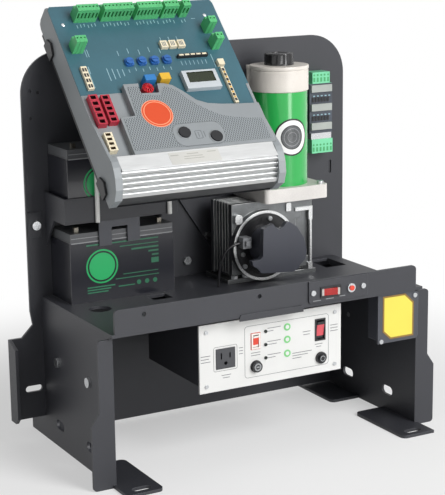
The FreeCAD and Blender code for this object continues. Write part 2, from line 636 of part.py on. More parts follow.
dial = rod("dial", "y", "wheel_x", "gear_front - 30", "wheel_z", 18, 3)
dial_hub = rod("dial_hub", "y", "wheel_x", "gear_front - 34", "wheel_z", 9, 16)
dial_hole = rod("dial_hole", "y", "wheel_x", "gear_front - 40", "wheel_z", 6, 26)
slits = [box("slit", "wheel_x %s" % across, "gear_front - 30", "wheel_z %s" % up, long, 3, tall)
         for across, up, long, tall in (("- 1", "+ 11", 2, 5), ("- 1", "- 16", 2, 5),
                                        ("+ 11", "- 1", 5, 2), ("- 16", "- 1", 5, 2))]
name_part(cut("limit_dial", join("dial_body", dial, dial_hub), dial_hole, *slits), "limit_dial")

sensor = box("sensor_case", "wheel_x - 41", "gear_front - cover_base - 14", "wheel_z + 2",
             13, 14, 15)
plug = box("sensor_plug", "wheel_x - 38", "gear_front - cover_base - 18", "wheel_z + 6", 6, 4, 7)
name_part(join("limit_sensor", sensor, plug), "limit_sensor")


def cable(label, points, rad):
    # Straight runs joined by tangent arcs, swept with one round section.
    spots = [Vec(*[number(value) for value in point]) for point in points]
    edges = []
    last = spots[0]
    for before, here, after in zip(spots, spots[1:], spots[2:]):
        back = (before - here).normalize()
        ahead = (after - here).normalize()
        half = back.getAngle(ahead) / 2
        setback = 0.45 * min(before.distanceToPoint(here), here.distanceToPoint(after))
        bisector = (back + ahead).normalize()
        reach = setback / math.cos(half)
        bend = setback * math.tan(half)
        enter, leave = here + back * setback, here + ahead * setback
        crown = here + bisector * (reach - bend)
        print("%s bend radius %.1f" % (label, bend))
        edges += [Part.LineSegment(last, enter).toShape(), Part.Arc(enter, crown, leave).toShape()]
        last = leave
    edges.append(Part.LineSegment(last, spots[-1]).toShape())
    path = Part.Wire(edges)
    section = Part.Wire(Part.Circle(spots[0], spots[1] - spots[0], rad).toShape())
    thing = doc.addObject("Part::Feature", label)
    thing.Shape = path.makePipeShell([section], True, False)
    ratio = thing.Shape.Volume / (math.pi * rad ** 2 * path.Length)
    print("%s volume over section times length %.4f" % (label, ratio))
    return name_part(thing, label)


# The limit sensor's lead runs along the face of the gear case and down beside it to the shelf.
lead_y = "gear_front - cover_base - 7"
cable("sensor_cable",
      [("wheel_x - 41", lead_y, "wheel_z + 9"), ("wheel_x - 58", lead_y, "wheel_z + 9"),
       ("wheel_x - 64", "gear_front - 10", "wheel_z - 11"),
       ("wheel_x - 65", "gear_front - 3", "wheel_z - 31"),
       ("wheel_x - 65", "gear_front - 3", "shelf_top")], 1.7)

# Control box. Its pieces are drawn flat: first axis across, second up the slope, third out.
# It hangs from the hinge at the top of the back plate, and its lower end follows its length.
hinge_y = "(plane_rear + frame_wall / 2)"
hinge_z = "(plate_top + hinge_rise)"
hinge_up = "(box_long - hinge_back)"
hinge_out = "(-1 * hinge_drop)"
box_y = "(%s - %s * cos(box_tilt) - hinge_drop * sin(box_tilt))" % (hinge_y, hinge_up)
box_z = "(%s - %s * sin(box_tilt) + hinge_drop * cos(box_tilt))" % (hinge_z, hinge_up)


def seat_on_slope(thing, label):
    thing.Placement = FreeCAD.Placement(Vec(), FreeCAD.Rotation(Vec(1, 0, 0), 1))
    thing.setExpression("Placement.Rotation.Angle", bound("box_tilt"))
    place(thing, "box_x", box_y, box_z)
    return name_part(thing, label)


def along(share):
    # A place up the slope, as a share of the box's length, so that the layout keeps its order.
    return "(box_long * %.4f)" % share


def knuckle(label, across, long):
    bar = rod(label + "_bar", "x", across, hinge_up, hinge_out, "hinge_rad", long)
    strap = box(label + "_strap", across, "%s - hinge_rad" % hinge_up, hinge_out, long,
                "hinge_rad * 2", "hinge_drop - tray_sheet")
    hole = rod(label + "_hole", "x", across, hinge_up, hinge_out, "hinge_pin + run_gap", long)
    return cut(label, join(label + "_body", bar, strap), hole)


hinge_spots = (34, 188)
side_knuckle = "(knuckle_long / 2)"
cable_window = rect("box_wide / 4", along(0.218), "box_wide * 3 / 4", along(0.655))
tray_body = new_body("tray_sheet_metal")
pad(tray_body, "XY", "-tray_sheet", "tray_sheet",
    ((6, "sink_low + 6"), ("box_wide - 6", "sink_low + 6"), ("box_wide - 6", "box_long - 12"),
     (6, "box_long - 12")), cable_window)
hook_out = "(-tray_sheet - seat_gap)"
for low, high in (("box_long - 60", "box_long - 34"), (-4, 22)):
    pad(tray_body, "YZ", hook_out, "tray_sheet",
        ((low, "-tray_sheet"), (high, "-tray_sheet"), (high, 10), ("%s - 12" % high, 16),
         (low, 10)))
    pad(tray_body, "XY", "-tray_sheet", "tray_sheet - seat_gap", rect(hook_out, low, 8, high))
pieces = [tray_body]
for item, spot in enumerate(hinge_spots):
    pieces.append(knuckle("knuckle_a%d" % item, spot, side_knuckle))
    pieces.append(knuckle("knuckle_b%d" % item,
                          "%d + knuckle_long * 1.5 + 2 * seat_gap" % spot, side_knuckle))
seat_on_slope(join("control_tray", *pieces), "control_tray")

seats = []
for item, spot in enumerate(hinge_spots):
    start = "(box_x + %d + %s + seat_gap)" % (spot, side_knuckle)
    tab = box("seat_tab%d" % item, start, "plane_rear", "plate_top", "knuckle_long",
              "frame_wall", "hinge_rise")
    roll = rod("seat_roll%d" % item, "x", start, hinge_y, hinge_z, "hinge_rad", "knuckle_long")
    pin = rod("seat_pin%d" % item, "x", "box_x + %d - 1" % spot, hinge_y, hinge_z, "hinge_pin",
              "knuckle_long * 2 + 2 * seat_gap + 2")
    seats.append(join("hinge_seat%d" % item, tab, roll, pin))

# Two round props in front of the tray hold the lower edge of the box at its angle.
prop_y = "(%s - tray_wall - prop_rad)" % tray_front
slope_here = "(%s - tray_sheet / cos(box_tilt) + (%s - prop_rad - %s) * tan(box_tilt))"
prop_top = slope_here % (box_z, prop_y, box_y)
props = [rod("prop", "z", across, prop_y, "tray_floor - tray_wall", "prop_rad",
             "%s - seat_gap - tray_floor + tray_wall" % prop_top)
         for across in ("batt_left + 38", "batt_left + batt_long - 8")]
name_part(group("box_supports", *seats, *props), "box_supports")

# Moulded housing: side walls with thick ends beside the heat sink, a frame under the board, a
# floor round the sockets and the raised wave-edged cover with its notch for the choke.
shell = new_body("control_housing")
rim_top = "(pcb_level + pcb_wall)"
floor_end = along(0.4618)
end_outline = (("sink_low + 4", 0), ("box_long - 9", 0), ("box_long - 2.6", 2.6),
               ("box_long", 9), ("box_long", "pcb_level - 5"), ("box_long - 3", "pcb_level"),
               (floor_end, "pcb_level"), (floor_end, rim_top), (along(0.33), rim_top),
               ("sink_high + 8", "cover_level - 1"), ("sink_high - 8", "cover_level + 2"),
               (9, "cover_level + 1"), (-3, 42), ("sink_low + 7", 33), ("sink_low", 20))
pad(shell, "YZ", 0, "box_side", end_outline)
pad(shell, "YZ", "box_wide - box_side", "box_side", end_outline)
cap_outline = (("sink_low + 4", 0), ("sink_high", 0), ("sink_high", "cover_level + 0.5"),
               ("sink_high - 8", "cover_level + 2"), (9, "cover_level + 1"), (-3, 42),
               ("sink_low + 7", 33), ("sink_low", 20))
pad(shell, "YZ", "box_side", "sink_side - box_side", cap_outline)
pad(shell, "YZ", "box_wide - sink_side", "sink_side - box_side", cap_outline)
pad(shell, "YZ", "box_side", "box_wide - 2 * box_side",
    (("box_long - box_side", 0), ("box_long - 9", 0), ("box_long - 2.6", 2.6), ("box_long", 9),
     ("box_long", "pcb_level - 5"), ("box_long - 3", "pcb_level"),
     ("box_long - box_side", "pcb_level")))
pad(shell, "XY", 0, 3, rect("box_side", "sink_high", "box_wide - box_side",
                            "box_long - box_side"), cable_window)
board_edge = along(0.3127)
floor_step = 61
pad(shell, "XY", "pcb_level - 4", "pcb_wall + 4",
    (("box_side", "sink_high + 1"), ("box_wide - box_side", "sink_high + 1"),
     ("box_wide - box_side", board_edge), (floor_step, board_edge), (floor_step, floor_end),
     ("box_side", floor_end)))
wave = ((36, "sink_high + 1"), (36, along(0.299)), (57, along(0.305)), (57, along(0.485)),
        (78, along(0.484)), (76, along(0.427)), (102, along(0.424)), (104, along(0.476)),
        (112, along(0.476)), (124, along(0.46)), (136, along(0.42)), (149, along(0.366)),
        (163, along(0.342)), (182, along(0.331)), (210, along(0.324)),
        ("box_wide - box_side", along(0.32)), ("box_wide - box_side", "sink_high + 1"))
left_press, right_press = (113, along(0.1855)), (155, along(0.1491))
press_holes = [("circle", across, up, "button_rad + 0.4") for across, up in
               (left_press, right_press)]
pad(shell, "XY", rim_top, "cover_level - %s" % rim_top, wave, *press_holes)
pocket(shell, "XY", "pcb_level - 4", 30, *press_holes)
seat_on_slope(shell, "control_housing")

# The board lies on the housing's frame and reaches its edges, cut out round the cover's floor.
board = new_body("circuit_board")
board_low = "(%s + seat_gap)" % board_edge
pad(board, "XY", "pcb_level", "pcb_wall - 0.2",
    ((0, "%s + seat_gap" % floor_end), ("%d + seat_gap" % floor_step, "%s + seat_gap" % floor_end),
     ("%d + seat_gap" % floor_step, board_low), ("box_wide - box_side - seat_gap", board_low),
     ("box_wide - box_side - seat_gap", "%s + seat_gap" % floor_end),
     ("box_wide", "%s + seat_gap" % floor_end), ("box_wide", "box_long - 9"),
     ("box_wide - 3", "box_long - 3"), (3, "box_long - 3"), (0, "box_long - 9")))
seat_on_slope(board, "circuit_board")

sink = new_body("heatsink")
sink_outline = [("sink_high", 6), ("sink_high", "cover_level + 1"), (3, "cover_level + 1")]
ribs = 5
for item in range(ribs):
    rib_up = "(3 - %d * (3 - sink_low - 3) / %d)" % (item, ribs)
    rib_end = "(3 - %d.5 * (3 - sink_low - 3) / %d)" % (item, ribs)
    drop = "(cover_level + 1 - %d)" % (item * 5)
    sink_outline += [(rib_up, "%s - 4" % drop), (rib_end, "%s - 4" % drop),
                     (rib_end, "%s - 1.5" % drop)]
sink_outline += [("sink_low + 3", 20), ("sink_low + 3", 6)]
sink_wide = "(box_wide - 2 * sink_side - 2 * seat_gap)"
pad(sink, "YZ", "sink_side + seat_gap", sink_wide, sink_outline)
seat_on_slope(sink, "heatsink")

board_top = "(pcb_level + pcb_wall)"


def on_board(label, across, up, long, deep, tall, rise=0):
    return box(label, across, up, "%s + %s" % (board_top, rise), long, deep, tall)


def resting(label, across, up, long, deep, tall):
    # A part soldered on the board, whose face lies 0.2 mm under the floor's.
    return box(label, across, up, "%s - 0.2" % board_top, long, deep, "%s + 0.2" % tall)


def terminal(label, across, up, long):
    # A pluggable terminal block: tall wire side in front, a lower latch side behind it.
    front = resting(label + "_front", across, up, long, 10.5, 24)
    rear = resting(label + "_rear", across, "%s + 10.5" % up, long, 5, 16)
    return join(label, front, rear)


top_row = "(box_long - box_side - 27.5)"
rows = [("a", 28.5, top_row, 30.5), ("b", 66, top_row, 42), ("c", 114, top_row, 35),
        ("d", 153, top_row, 21), ("e", 180.5, top_row, 11), ("f", 10, along(0.704), 15),
        ("g", 208, along(0.778), 11), ("h", 208, along(0.676), 11)]
blocks = [terminal("block_" + tag, across, up, long) for tag, across, up, long in rows]
seat_on_slope(group("terminal_blocks", *blocks), "terminal_blocks")


def stretch(low, high):
    return "(%s - %s)" % (along(high), along(low))


sockets = [on_board("socket", 5, along(0.275), 12, stretch(0.275, 0.443), 9),
           on_board("socket", 21, along(0.282), 12, stretch(0.282, 0.4363), 9),
           on_board("socket", 6, along(0.129), 11, stretch(0.129, 0.229), 9)]
seat_on_slope(group("power_connectors", *sockets), "power_connectors")

screen_low, glass_low = along(0.438), along(0.4727)
screen = cut("display_cut", resting("display_rim", 146, screen_low, 50, 29, 7),
             on_board("display_hole", 152, glass_low, 39, 16.5, 2, 5))
seat_on_slope(group("display", screen,
                    on_board("display_glass", 152, glass_low, 39, 16.5, 1, 5)), "display")

small = [resting("switch", across, along(0.6964), 10, 11, 5) for across in (135, 147.5, 160)]
small += [resting("header", 153, along(0.636), 44, 4, 5),
          resting("strip", 12, along(0.4873), 8, stretch(0.4873, 0.6182), 4),
          resting("lead", 206, along(0.5709), 9, 9, 6),
          resting("jumpers", 207, along(0.345), 5, stretch(0.345, 0.56), 4),
          resting("film_blue", 88, along(0.4855), 15, 9, 14),
          resting("film_yellow", 110, along(0.4855), 14, 10, 14),
          rod("coil_part", "z", 89.5, along(0.456), "%s - 0.2" % board_top, 7.6, 9)]
seat_on_slope(group("board_parts", *small), "board_parts")

for item, across in enumerate((82, 100, 118, 136), start=1):
    knob = rod("pot_knob%d" % item, "z", across, along(0.63), "%s - 0.2" % board_top, 5, 6.2)
    slot = box("pot_slot%d" % item, "%d - 4" % across, "%s - 0.5" % along(0.63),
               "%s + 5" % board_top, 8, 1, 1)
    seat_on_slope(group("trim_pot_%d" % item, cut("pot%d" % item, knob, slot)),
                  "trim_pot_%d" % item)

press_floor = "(pcb_level - 4 + button_travel + 0.5)"
for label, spot in (("left_button", left_press), ("right_button", right_press)):
    face = rod(label + "_stem", "z", *spot, press_floor, "button_rad",
               "cover_level + 3 - %s" % press_floor)
    seat_on_slope(group(label, face), label)

# Power box under the shelf: a deep case behind a white panel.
panel_right = "(panel_left + panel_wide)"
panel_top = "(panel_low + panel_tall)"
case_front = "(panel_y + panel_wall)"
outlet_x = "(panel_left + 38)"
outlet_z = "(panel_low + 43)"
dc_x = "(panel_left + 83)"
dc_z = "(panel_low + 59)"
ac_x = "(panel_left + 182)"
ac_z = "(panel_low + 60)"
fuse_x = "(panel_left + 83)"
fuse_z = "(panel_low + 25)"
trip_x = "(panel_left + 183)"
trip_z = "(panel_low + 21)"


def opening(middle, up, wide, tall):
    half, rise = "(%s) / 2" % wide, "(%s) / 2" % tall
    return rect("%s - %s" % (middle, half), "%s - %s" % (up, rise),
                "%s + %s" % (middle, half), "%s + %s" % (up, rise))


holes = [opening(outlet_x, outlet_z, 28, 27), opening(dc_x, dc_z, 13, 21),
         opening(ac_x, ac_z, 16, 30), ("circle", fuse_x, fuse_z, 6), ("circle", trip_x, trip_z, 6)]
# The case is two folded sheets: a hood over the top and sides, and a floor that turns up behind.
case_left, case_right = "(panel_left + 3)", "(%s - 3)" % panel_right
case_low, case_high = "(panel_low + 8)", "(%s + 4)" % panel_top
case_back = "(%s + case_deep)" % case_front
hood = new_body("case_hood")
pad(hood, "XZ", case_back, "case_deep",
    ((case_left, case_low), (case_left, case_high), (case_right, case_high),
     (case_right, case_low), ("%s - case_wall" % case_right, case_low),
     ("%s - case_wall" % case_right, "%s - case_wall" % case_high),
     ("%s + case_wall" % case_left, "%s - case_wall" % case_high),
     ("%s + case_wall" % case_left, case_low)))
case_floor = new_body("case_floor")
pad(case_floor, "YZ", "%s + case_wall" % case_left,
    "%s - %s - 2 * case_wall" % (case_right, case_left),
    ((case_front, case_low), (case_back, case_low), (case_back, "%s - case_wall" % case_high),
     ("%s - case_wall" % case_back, "%s - case_wall" % case_high),
     ("%s - case_wall" % case_back, "%s + case_wall" % case_low),
     (case_front, "%s + case_wall" % case_low)))
white = new_body("power_panel")
pad(white, "XZ", case_front, "panel_wall",
    rect("panel_left", "panel_low", panel_right, panel_top), *holes)
name_part(white, "power_panel")

hang_top = "(%s - %s - 4)" % (under_shelf, panel_top)
hangers = [box("hanger", across, deep, "%s + 4" % panel_top, long, 20, hang_top)
           for across, deep, long in (("panel_left + 59", "%s + 2" % case_front, 95),
                                      ("panel_left + 20", "%s + 110" % case_front, 170))]
name_part(group("power_box_case", hood, case_floor, *hangers), "power_box_case")

face = new_body("outlet")
pad(face, "XZ", "%s + 20" % case_front, "20 + panel_wall + 1", opening(outlet_x, outlet_z, 28, 27))
pocket(face, "XZ", "%s + 12" % case_front, "12 + panel_wall + 1",
       opening("%s - 6.35" % outlet_x, "%s + 3.5" % outlet_z, 2, 8.5),
       opening("%s + 6.35" % outlet_x, "%s + 3.5" % outlet_z, 2, 7),
       ("circle", outlet_x, "%s - 6.5" % outlet_z, 2.5))
name_part(face, "outlet")


def rocker_frame(label, middle, up, wide, tall, front, deep):
    # A snap-in switch frame, open through the middle for its rocker.
    frame = new_body(label)
    pad(frame, "XZ", "%s + %s" % (front, deep), "%s + 1.5" % deep,
        opening(middle, up, wide, tall))
    pocket(frame, "XZ", "%s + %s - 2" % (front, deep), "%s - 0.5" % deep,
           opening(middle, up, "%s - 4" % wide, "%s - 4" % tall))
    return frame


lip_face = shelf_front
frames = [rocker_frame("dc_frame", dc_x, dc_z, 13, 21, "panel_y", 16),
          rocker_frame("ac_frame", ac_x, ac_z, 16, 30, "panel_y", 20),
          rocker_frame("lip_frame", 82, "shelf_top + 14", 32, 14, "(%s - 2.5)" % lip_face, 14)]
name_part(group("switch_frames", *frames), "switch_frames")

ROCKER = ((-0.42, 0.90), (-0.23, 0), (-0.10, -0.99), (0.5, -0.8), (0.75, 0), (0.5, 0.8))


def rocker(label, plane, level, wide, front, middle, rad):
    # A rocker turns about its own centre line, a little behind the face of its frame.
    body = new_body(label)
    corners = [("%s + %s * %s" % (front, deep, rad), "%s + %s * %s" % (middle, along, rad))
               for deep, along in ROCKER]
    if plane == "XY":
        corners = [(along, deep) for deep, along in corners]
    pad(body, plane, level, wide, corners)
    return name_part(body, label)


rocker("dc_rocker", "YZ", "%s - 4" % dc_x, 8, "(panel_y + 1)", dc_z, 8)
rocker("ac_rocker", "YZ", "%s - 5.5" % ac_x, 11, "(panel_y + 2)", ac_z, 12.4)
rocker("lip_rocker", "XY", "shelf_top + 9.4", 9.2, "(%s - 1.5)" % lip_face, 82, 13.4)

bracket = new_body("switch_bracket")
pad(bracket, "XZ", lip_face, 2.5, rect(49, "shelf_top + 1", 141, "shelf_top + front_lip - 1"),
    rect(66, "shelf_top + 7", 98, "shelf_top + 21"), ("circle", 113.5, "shelf_top + 15", 4),
    ("circle", 55, "shelf_top + 15", 2), ("circle", 133, "shelf_top + 15", 2))
soften(bracket, 4, (49, "%s - 1.25" % lip_face, "shelf_top + 1"),
       (141, "%s - 1.25" % lip_face, "shelf_top + 1"))
name_part(bracket, "switch_bracket")

nut = ring("reset_ring", "y", 113.5, "%s - 5.5" % lip_face, "shelf_top + 15", 6, 3.6, 3)
sleeve = ring("reset_sleeve", "y", 113.5, "%s - 2.5" % lip_face, "shelf_top + 15", 4, 3.6, 14)
fuse_seat = ring("fuse_seat", "y", fuse_x, "panel_y - 2", fuse_z, 8, 5.4, 2)
fuse_tube = ring("fuse_tube", "y", fuse_x, "panel_y", fuse_z, 6, 5.4, 24)
trip_seat = ring("trip_seat", "y", trip_x, "panel_y - 3", trip_z, 8, 5.1, 3)
trip_tube = ring("trip_tube", "y", trip_x, "panel_y", trip_z, 6, 5.1, 20)
name_part(group("button_seats", join("reset_seat", nut, sleeve), join("fuse_holder", fuse_seat,
          fuse_tube), join("trip_holder", trip_seat, trip_tube)), "button_seats")


def push_piece(label, across, up, front, rad, long):
    return name_part(group(label, rod(label + "_rod", "y", across, front, up, rad, long)), label)


push_piece("reset_button", 113.5, "shelf_top + 15", "%s - 7" % lip_face, 3.5, 16)
push_piece("breaker_button", trip_x, trip_z, "panel_y - 6", 5, 18)
fuse_head = rod("fuse_head", "y", fuse_x, "panel_y - 6", fuse_z, 7, 4)
fuse_body = rod("fuse_stem", "y", fuse_x, "panel_y - 2", fuse_z, 5.3, 22)
fuse_slot = box("fuse_slot", "%s - 5" % fuse_x, "panel_y - 6", "%s - 0.75" % fuse_z, 10, 1.5, 1.5)
name_part(cut("fuse_cap", join("fuse_plug", fuse_head, fuse_body), fuse_slot), "fuse_cap")

lamps = [rod("lamp", "y", "panel_left + 98", "panel_y - 1.5", "panel_low + %d" % up, 2.2, 1.5)
         for up in (70, 52, 34)]
lamps += [rod("mark", "y", "panel_left + 131", "panel_y - 0.6", "panel_low + %d" % up, 5, 0.6)
          for up in (71, 54, 35)]
name_part(group("panel_lamps", *lamps), "panel_lamps")

# Cover over the cable exit beside the right post, and the relay modules on the back plate.
exit_cover = new_body("junction_cover")
pad(exit_cover, "XZ", "-plane_front", 3,
    ((163, 127), (226, 127), (229, 131), (229, 191), (222, 195), (163, 195)))
pad(exit_cover, "XZ", "25 - plane_front", 25, rect(166, 130, 228, 192))
name_part(exit_cover, "junction_cover")
modules = []
for item, low in enumerate((388, 415, 442)):
    modules.append(box("module%d" % item, 178, "plane_rear - 22", low, 38, 22, 17 if item > 1 else 27))
    modules.append(box("module_strip%d" % item, 180, "plane_rear - 25", "%d + 5" % low, 34, 3, 10))
plugs = [box("plug_block", 183, "plane_rear - 22", 459, 29, 22, 16),
         box("plug_block", 182, "plane_rear - 22", 359, 35, 22, 20),
         box("screw_row", 182, "plane_rear - 20", 379, 34, 20, 9)]
name_part(group("relay_modules", *modules, *plugs), "relay_modules")


# Fasteners: hexagon and round heads, each seated on the piece that it holds.
def head(axis, x, y, z, rad, tall, sides=6):
    return rod("head", axis, x, y, z, rad, tall, sides)


heads = []
for side in (-1, 1):
    for deep in ("side_hole_mid - side_hole_gap / 2", "side_hole_mid + side_hole_gap / 2"):
        out = "base_half" if side > 0 else "-1 * base_half - 3.5"
        stem = "%d * base_half - (%d + 1) / 2 * frame_wall" % (side, side)
        heads.append(join("side_bolt", head("x", out, deep, "side_hole_high", 6.5, 3.5, 0),
                          head("x", stem, deep, "side_hole_high", 3.7, "frame_wall", 0)))
heads.append(head("y", 20, "plane_rear - frame_wall - 4.5", 255, 6, 4.5))
heads.append(head("y", -12, "plane_rear - 4.5", 222, 6, 4.5))
heads.append(head("y", -237, "plane_rear - earth_plate - 4", 298, 6, 4, 0))
for across in (24, 41, 132):
    heads.append(head("z", across, "gear_front + 5.5" if across < 100 else "plane_rear - 19",
                      "shelf_top + foot_plate", 5, 4))
for one in (-1, 1):
    for two in (-1, 1):
        heads.append(head("z", "worm_x + %d * 41" % one, "motor_y + %d * 41" % two,
                          flange_top, 4.5, 4, 0))
for across, up in ((55, "shelf_top + 15"), (133, "shelf_top + 15")):
    heads.append(head("y", across, "%s - 4.5" % lip_face, up, 3.6, 2, 0))
for across, up in ((9, 37), (-31, -26), (-34, -9)):
    heads.append(head("y", "wheel_x + %d" % across, "gear_front - cover_base - 2.5",
                      "wheel_z + %d" % up, 3.2, 2.5, 0))
for across, up in ((-92, 106), (-92, 178), (103, 106), (103, 178)):
    heads.append(head("y", across, "panel_y - 1.5", up, 2.6, 1.5, 0))
name_part(group("fasteners", *heads), "fasteners")

doc.recompute()
bad = [item.Name for item in doc.Objects if "Invalid" in item.State or "Error" in item.State]
for item in parts:
    if item.Shape.isNull() or not item.Shape.isValid():
        bad.append(item.Label)
if bad:
    raise RuntimeError("Pieces that did not build: " + ", ".join(bad))

os.makedirs("parts", exist_ok=True)
for item in parts:
    item.Shape.exportStep("parts/%s.step" % item.Label)
print("%d pieces written" % len(parts))
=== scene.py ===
import bmesh
import bpy
import math
from mathutils import Matrix, Vector


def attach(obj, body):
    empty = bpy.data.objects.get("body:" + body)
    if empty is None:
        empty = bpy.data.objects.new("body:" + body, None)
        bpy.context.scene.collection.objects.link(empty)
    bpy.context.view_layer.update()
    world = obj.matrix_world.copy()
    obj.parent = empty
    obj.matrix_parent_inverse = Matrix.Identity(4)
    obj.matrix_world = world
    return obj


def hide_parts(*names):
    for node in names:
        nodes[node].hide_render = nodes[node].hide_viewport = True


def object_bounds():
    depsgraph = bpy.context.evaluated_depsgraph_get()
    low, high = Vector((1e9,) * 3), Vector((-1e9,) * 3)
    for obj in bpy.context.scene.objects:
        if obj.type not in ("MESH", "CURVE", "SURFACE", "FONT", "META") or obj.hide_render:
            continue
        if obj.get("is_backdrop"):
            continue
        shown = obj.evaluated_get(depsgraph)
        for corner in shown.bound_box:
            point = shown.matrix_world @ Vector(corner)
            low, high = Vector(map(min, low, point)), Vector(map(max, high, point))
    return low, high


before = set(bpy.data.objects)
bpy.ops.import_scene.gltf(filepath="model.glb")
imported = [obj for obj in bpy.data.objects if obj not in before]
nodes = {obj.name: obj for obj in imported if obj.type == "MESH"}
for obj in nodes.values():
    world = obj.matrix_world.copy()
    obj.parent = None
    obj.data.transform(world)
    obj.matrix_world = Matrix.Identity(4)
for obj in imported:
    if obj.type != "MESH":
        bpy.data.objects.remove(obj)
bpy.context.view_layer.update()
scene = bpy.context.scene
scene.view_settings.view_transform = "Standard"

# Camera: left of the front and a little above, with a long lens, at the photograph's angle.
# The place in metres, the angles and the focal length in pixels come from matching edges.
camera_place = (-0.96893, -1.74163, 0.71382)
yaw, pitch, roll = math.radians(28.75), math.radians(12.83), math.radians(0.76)
focal_pixels, longer_side, sensor_width = 1521.09, 495, 36
forward = Vector((math.sin(yaw) * math.cos(pitch), math.cos(yaw) * math.cos(pitch),
                  -math.sin(pitch)))
level = Vector((math.cos(yaw), -math.sin(yaw), 0))
below = forward.cross(level)
right = level * math.cos(roll) + below * math.sin(roll)
down = below * math.cos(roll) - level * math.sin(roll)
lens = bpy.data.cameras.new("camera")
lens.lens = sensor_width * focal_pixels / longer_side
lens.clip_end = 100
camera = bpy.data.objects.new("camera", lens)
turn = Matrix((right, -down, -forward)).transposed().to_4x4()
camera.matrix_world = Matrix.Translation(camera_place) @ turn
scene.collection.objects.link(camera)
scene.camera = camera


# Floor: a sheet of matt white studio paper that keeps a soft shadow under the object. From
# plain_from to plain_to, in metres from the middle, it turns to the plain white of the picture,
# and nearer it has the share plain_near of it.
def tint(code):
    # An sRGB hex code as the linear colour that the shaders take.
    parts = [int(code[i:i + 2], 16) / 255 for i in (0, 2, 4)]
    return [c / 12.92 if c <= 0.04045 else ((c + 0.055) / 1.055) ** 2.4 for c in parts] + [1]


def add(tree, kind, inputs=None, **settings):
    # Adds one node with its settings, its fixed values and its links.
    item = tree.nodes.new(kind)
    for name, value in settings.items():
        setattr(item, name, value)
    for name, value in (inputs or {}).items():
        if isinstance(value, bpy.types.NodeSocket):
            tree.links.new(value, item.inputs[name])
        else:
            item.inputs[name].default_value = value
    return item


def seen_directly(tree):
    # One for what the camera sees, also in a reflection or through glass, and nought for the
    # light that reaches matt surfaces.
    rays = add(tree, "ShaderNodeLightPath")
    seen = add(tree, "ShaderNodeMath", {0: rays.outputs["Is Camera Ray"],
                                        1: rays.outputs["Is Glossy Ray"]}, operation="MAXIMUM")
    seen = add(tree, "ShaderNodeMath", {0: seen.outputs[0],
                                        1: rays.outputs["Is Transmission Ray"]},
               operation="MAXIMUM")
    return seen.outputs[0]


plain_from, plain_to, plain_near = 0.35, 0.85, 0.45
half_sheet = 30
sweep = bpy.data.meshes.new("floor")
sweep.from_pydata([(-half_sheet, -half_sheet, 0), (half_sheet, -half_sheet, 0),
                   (half_sheet, half_sheet, 0), (-half_sheet, half_sheet, 0)], [], [(0, 1, 2, 3)])
floor = bpy.data.objects.new("floor", sweep)
scene.collection.objects.link(floor)
paper = bpy.data.materials.new("studio_paper")
paper.use_nodes = True
tree = paper.node_tree
tree.nodes.clear()
spot = add(tree, "ShaderNodeTexCoord")
reach = add(tree, "ShaderNodeVectorMath", {0: spot.outputs["Object"]}, operation="LENGTH")
far = add(tree, "ShaderNodeMapRange", {"Value": reach.outputs["Value"], "From Min": plain_from,
                                       "From Max": plain_to}, interpolation_type="SMOOTHSTEP")
share = add(tree, "ShaderNodeMapRange", {"Value": far.outputs[0], "To Min": plain_near})
share = add(tree, "ShaderNodeMath", {0: share.outputs[0], 1: seen_directly(tree)},
            operation="MULTIPLY")
matt = add(tree, "ShaderNodeBsdfDiffuse", {"Color": tint("f4f4f4")})
glow = add(tree, "ShaderNodeEmission", {"Color": (1, 1, 1, 1), "Strength": 1.0})
both = add(tree, "ShaderNodeMixShader", {0: share.outputs[0], 1: matt.outputs[0],
                                         2: glow.outputs[0]})
add(tree, "ShaderNodeOutputMaterial", {"Surface": both.outputs[0]})
sweep.materials.append(paper)
floor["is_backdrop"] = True

# Room: white walls that look plain white, and that light matt surfaces at about a third. A large
# soft box stands high at the right, a weak one at the left, and a strip lights the motor's side.
room_light = 0.31
room = bpy.data.worlds.new("room")
room.use_nodes = True
tree = room.node_tree
tree.nodes.clear()
power = add(tree, "ShaderNodeMapRange", {"Value": seen_directly(tree), "To Min": room_light,
                                         "To Max": 1.0})
air = add(tree, "ShaderNodeBackground", {"Color": (1, 1, 1, 1), "Strength": power.outputs[0]})
add(tree, "ShaderNodeOutputWorld", {"Surface": air.outputs[0]})
scene.world = room


def soft_box(name, place, aim, wide, tall, watts):
    # A rectangular lamp in metres that faces the point it is aimed at.
    lamp = bpy.data.lights.new(name, "AREA")
    lamp.shape = "RECTANGLE"
    lamp.size, lamp.size_y = wide, tall
    lamp.energy = watts
    item = bpy.data.objects.new(name, lamp)
    item.location = place
    item.rotation_euler = (Vector(aim) - Vector(place)).to_track_quat("-Z", "Y").to_euler()
    scene.collection.objects.link(item)


soft_box("key_light", (0.9, -2.5, 2.0), (0, 0, 0.3), 1.5, 1.5, 68)
soft_box("fill_light", (-1.7, -2.3, 1.5), (0, 0, 0.3), 1.4, 1.4, 2)
soft_box("strip_light", (0.66, -2.3, 0.62), (0.1, 0, 0.3), 0.62, 1.2, 15)


# Folded frame: side panels, shelf, back plate and brackets, most of them in 4 mm steel, laser cut
# and folded, then powder coated satin black. The coat has a fine orange peel that spreads the
# light. Its cut edges are painted paler, partly where the coat thins and partly as a painted
# highlight.
MM = 0.001


